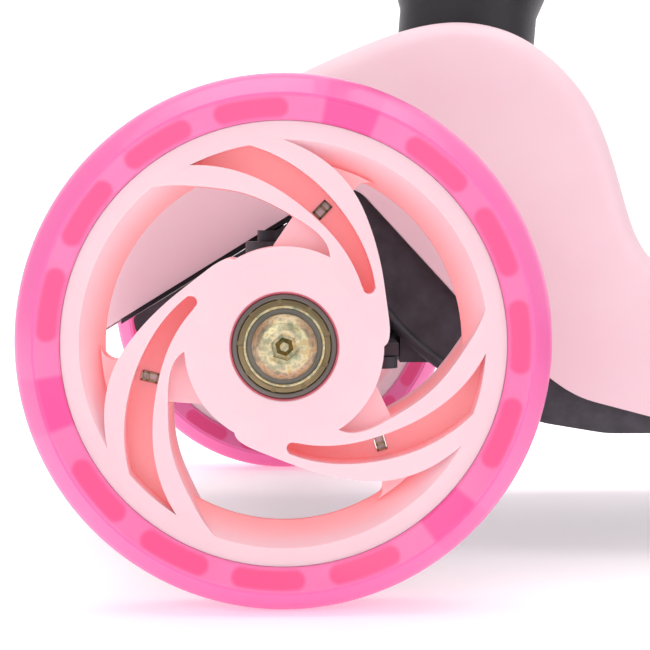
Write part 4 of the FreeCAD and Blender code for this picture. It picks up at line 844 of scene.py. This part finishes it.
castTyre = {"left": castUrethane("castUrethaneLeft", middle("tyre_left"), 1),
            "right": castUrethane("castUrethaneRight", middle("tyre_right"), -1)}
castCores = {name: castCore("castCore_" + name, middle("wheel_core_" + name)) for name in ("left", "right")}
for name, side in (("left", -1), ("right", 1)):
    buildTyre(name, side)
    softened("wheel_core_" + name, castCores[name], "wheel_" + name, width=0.0005,
             segments=3)
    buildBearings(name, "wheel_" + name, onAxle(side), bearingShape["face"], ("bearing_outer_" + name,))
    buildWheelBolt(name, side)
    buildLampClips(name, side)
    buildCornerWebs(name, side)
    buildGrip(name, side)
    buildPanelBead(name, side)
    softened("knuckle_" + name, finish["black"], "knuckle_" + name, width=0.0006)
print("wheels built")
buildBearings("rear", "rear_wheel", rearAxle(), 11.8, ("rear_bearing_outer",))
buildMatStuds()
easedNodes = {"front_cover": ("coverPink", "frame", "pink_plastic", 0.0007),
              "lower_frame": ("panelBlack", "frame", "black_plastic", 0.0005),
              "axle_beam": ("black", "frame", "black_plastic", 0.0006),
              "deck": ("deckBlack", "frame", "black_plastic", 0.0006),
              "deck_mat": ("deckMat", "frame", "deck_rubber", 0.0006),
              "rear_fork": ("black", "frame", "black_plastic", 0.0006),
              "brake_fender": ("buttonPink", "brake", "pink_button", 0.0006),
              "fold_base": ("black", "steering_post", "black_plastic", 0.0007),
              "steering_post": ("black", "steering_post", "black_plastic", 0.0005),
              "fold_head": ("black", "column", "black_plastic", 0.0007),
              "tube_clamp": ("black", "column", "black_plastic", 0.0005),
              "clamp_lever": ("buttonPink", "clamp_lever", "pink_button", 0.0005),
              "bar_joint": ("black", "handlebar", "black_plastic", 0.0006),
              "rear_wheel_core": ("wheelPink", "rear_wheel", "pink_plastic", 0.0004),
              "tie_rod": ("black", "tie_rod", "black_plastic", 0.0004),
              "brake_lugs": ("black", "frame", "black_plastic", 0.0005)}
for name, (look, body, slotName, width) in easedNodes.items():
    softened(name, finish[look], body, width)
print("mouldings eased")

# floor, lights and camera

studio = {"floorShade": (246, 243, 244), "paperGlow": 0.4, "floorHalf": 3.0, "wallAt": 1.6, "bend": 0.5,
          "wallHigh": 3.0}


def buildFloor():
    bm = bmesh.new()
    profile = [bm.verts.new((-studio["floorHalf"], y, z)) for y,
               z in ((-3.0, 0.0), (studio["wallAt"], 0.0))]
    for step in range(1, 13):
        turn = math.pi / 2 * step / 12
        profile.append(bm.verts.new((-studio["floorHalf"],
                                     studio["wallAt"] + studio["bend"] * math.sin(turn),
                                     studio["bend"] * (1 - math.cos(turn)))))
    profile.append(bm.verts.new((-studio["floorHalf"], studio["wallAt"] + studio["bend"],
                                 studio["wallHigh"])))
    edges = [bm.edges.new(pair) for pair in zip(profile, profile[1:])]
    swept = bmesh.ops.extrude_edge_only(bm, edges=edges)["geom"]
    bmesh.ops.translate(bm, vec=(studio["floorHalf"] * 2, 0, 0),
                        verts=[g for g in swept if isinstance(g, bmesh.types.BMVert)])
    bmesh.ops.recalc_face_normals(bm, faces=bm.faces)
    mesh = bpy.data.meshes.new("studioFloor")
    bm.to_mesh(mesh)
    bm.free()
    for face in mesh.polygons:
        face.use_smooth = True
    floor = bpy.data.objects.new("studioFloor", mesh)
    bpy.context.scene.collection.objects.link(floor)
    paper = moulded("studioPaper", studio["floorShade"], (243, 240, 241), rough=0.5, grainDepth=0.0)
    shader = paper.node_tree.nodes["Principled BSDF"]
    shader.inputs["Emission Color"].default_value = linear(250, 244, 250)
    shader.inputs["Emission Strength"].default_value = studio["paperGlow"]
    mesh.materials.append(paper)


def areaLight(name, at, aim, size, power, shade=(1, 1, 1)):
    lamp = bpy.data.lights.new(name, "AREA")
    lamp.shape = "RECTANGLE"
    lamp.size, lamp.size_y = size
    lamp.energy = power
    lamp.color = shade
    stand = bpy.data.objects.new(name, lamp)
    stand.location = at
    stand.rotation_euler = (Vector(aim) - Vector(at)).to_track_quat("-Z", "Y").to_euler()
    bpy.context.scene.collection.objects.link(stand)


buildFloor()
axleAt = middle("tyre_left")
areaLight("topBox", (axleAt.x + 0.1, -0.1, 1.5), (axleAt.x + 0.1, 0.0, 0.0), (1.6, 1.4), 10)
areaLight("frontBox", (axleAt.x - 0.7, -1.5, 0.9), (axleAt.x, -0.1, 0.08), (1.2, 1.0), 6)
areaLight("sideBox", (axleAt.x + 1.2, -1.3, 0.7), (axleAt.x + 0.1, -0.1, 0.08), (1.0, 1.0), 4)
areaLight("wallBox", (axleAt.x + 0.1, 0.5, 1.4), (axleAt.x + 0.1, 1.9, 0.3), (2.4, 1.2), 16)
world = bpy.data.worlds.new("studioAir")
world.use_nodes = True
world.node_tree.nodes["Background"].inputs["Color"].default_value = (1.0, 0.985, 0.99, 1.0)
world.node_tree.nodes["Background"].inputs["Strength"].default_value = 0.49
bpy.context.scene.world = world

bpy.context.scene.view_settings.view_transform = "Standard"

cameraAt = {"x": -0.0004, "y": -0.4726, "z": 0.0816, "lens": 93.6, "down": 3.207, "right": 1.447}
lensData = bpy.data.cameras.new("camera")
lensData.lens = cameraAt["lens"]
lensData.sensor_width = 36.0
lensData.clip_start = 0.01
viewer = bpy.data.objects.new("camera", lensData)
viewer.location = (axleAt.x + cameraAt["x"], cameraAt["y"], cameraAt["z"])
viewer.rotation_euler = (math.radians(90 - cameraAt["down"]), 0, math.radians(-cameraAt["right"]))
bpy.context.scene.collection.objects.link(viewer)
bpy.context.scene.camera = viewer
print("studio ready")
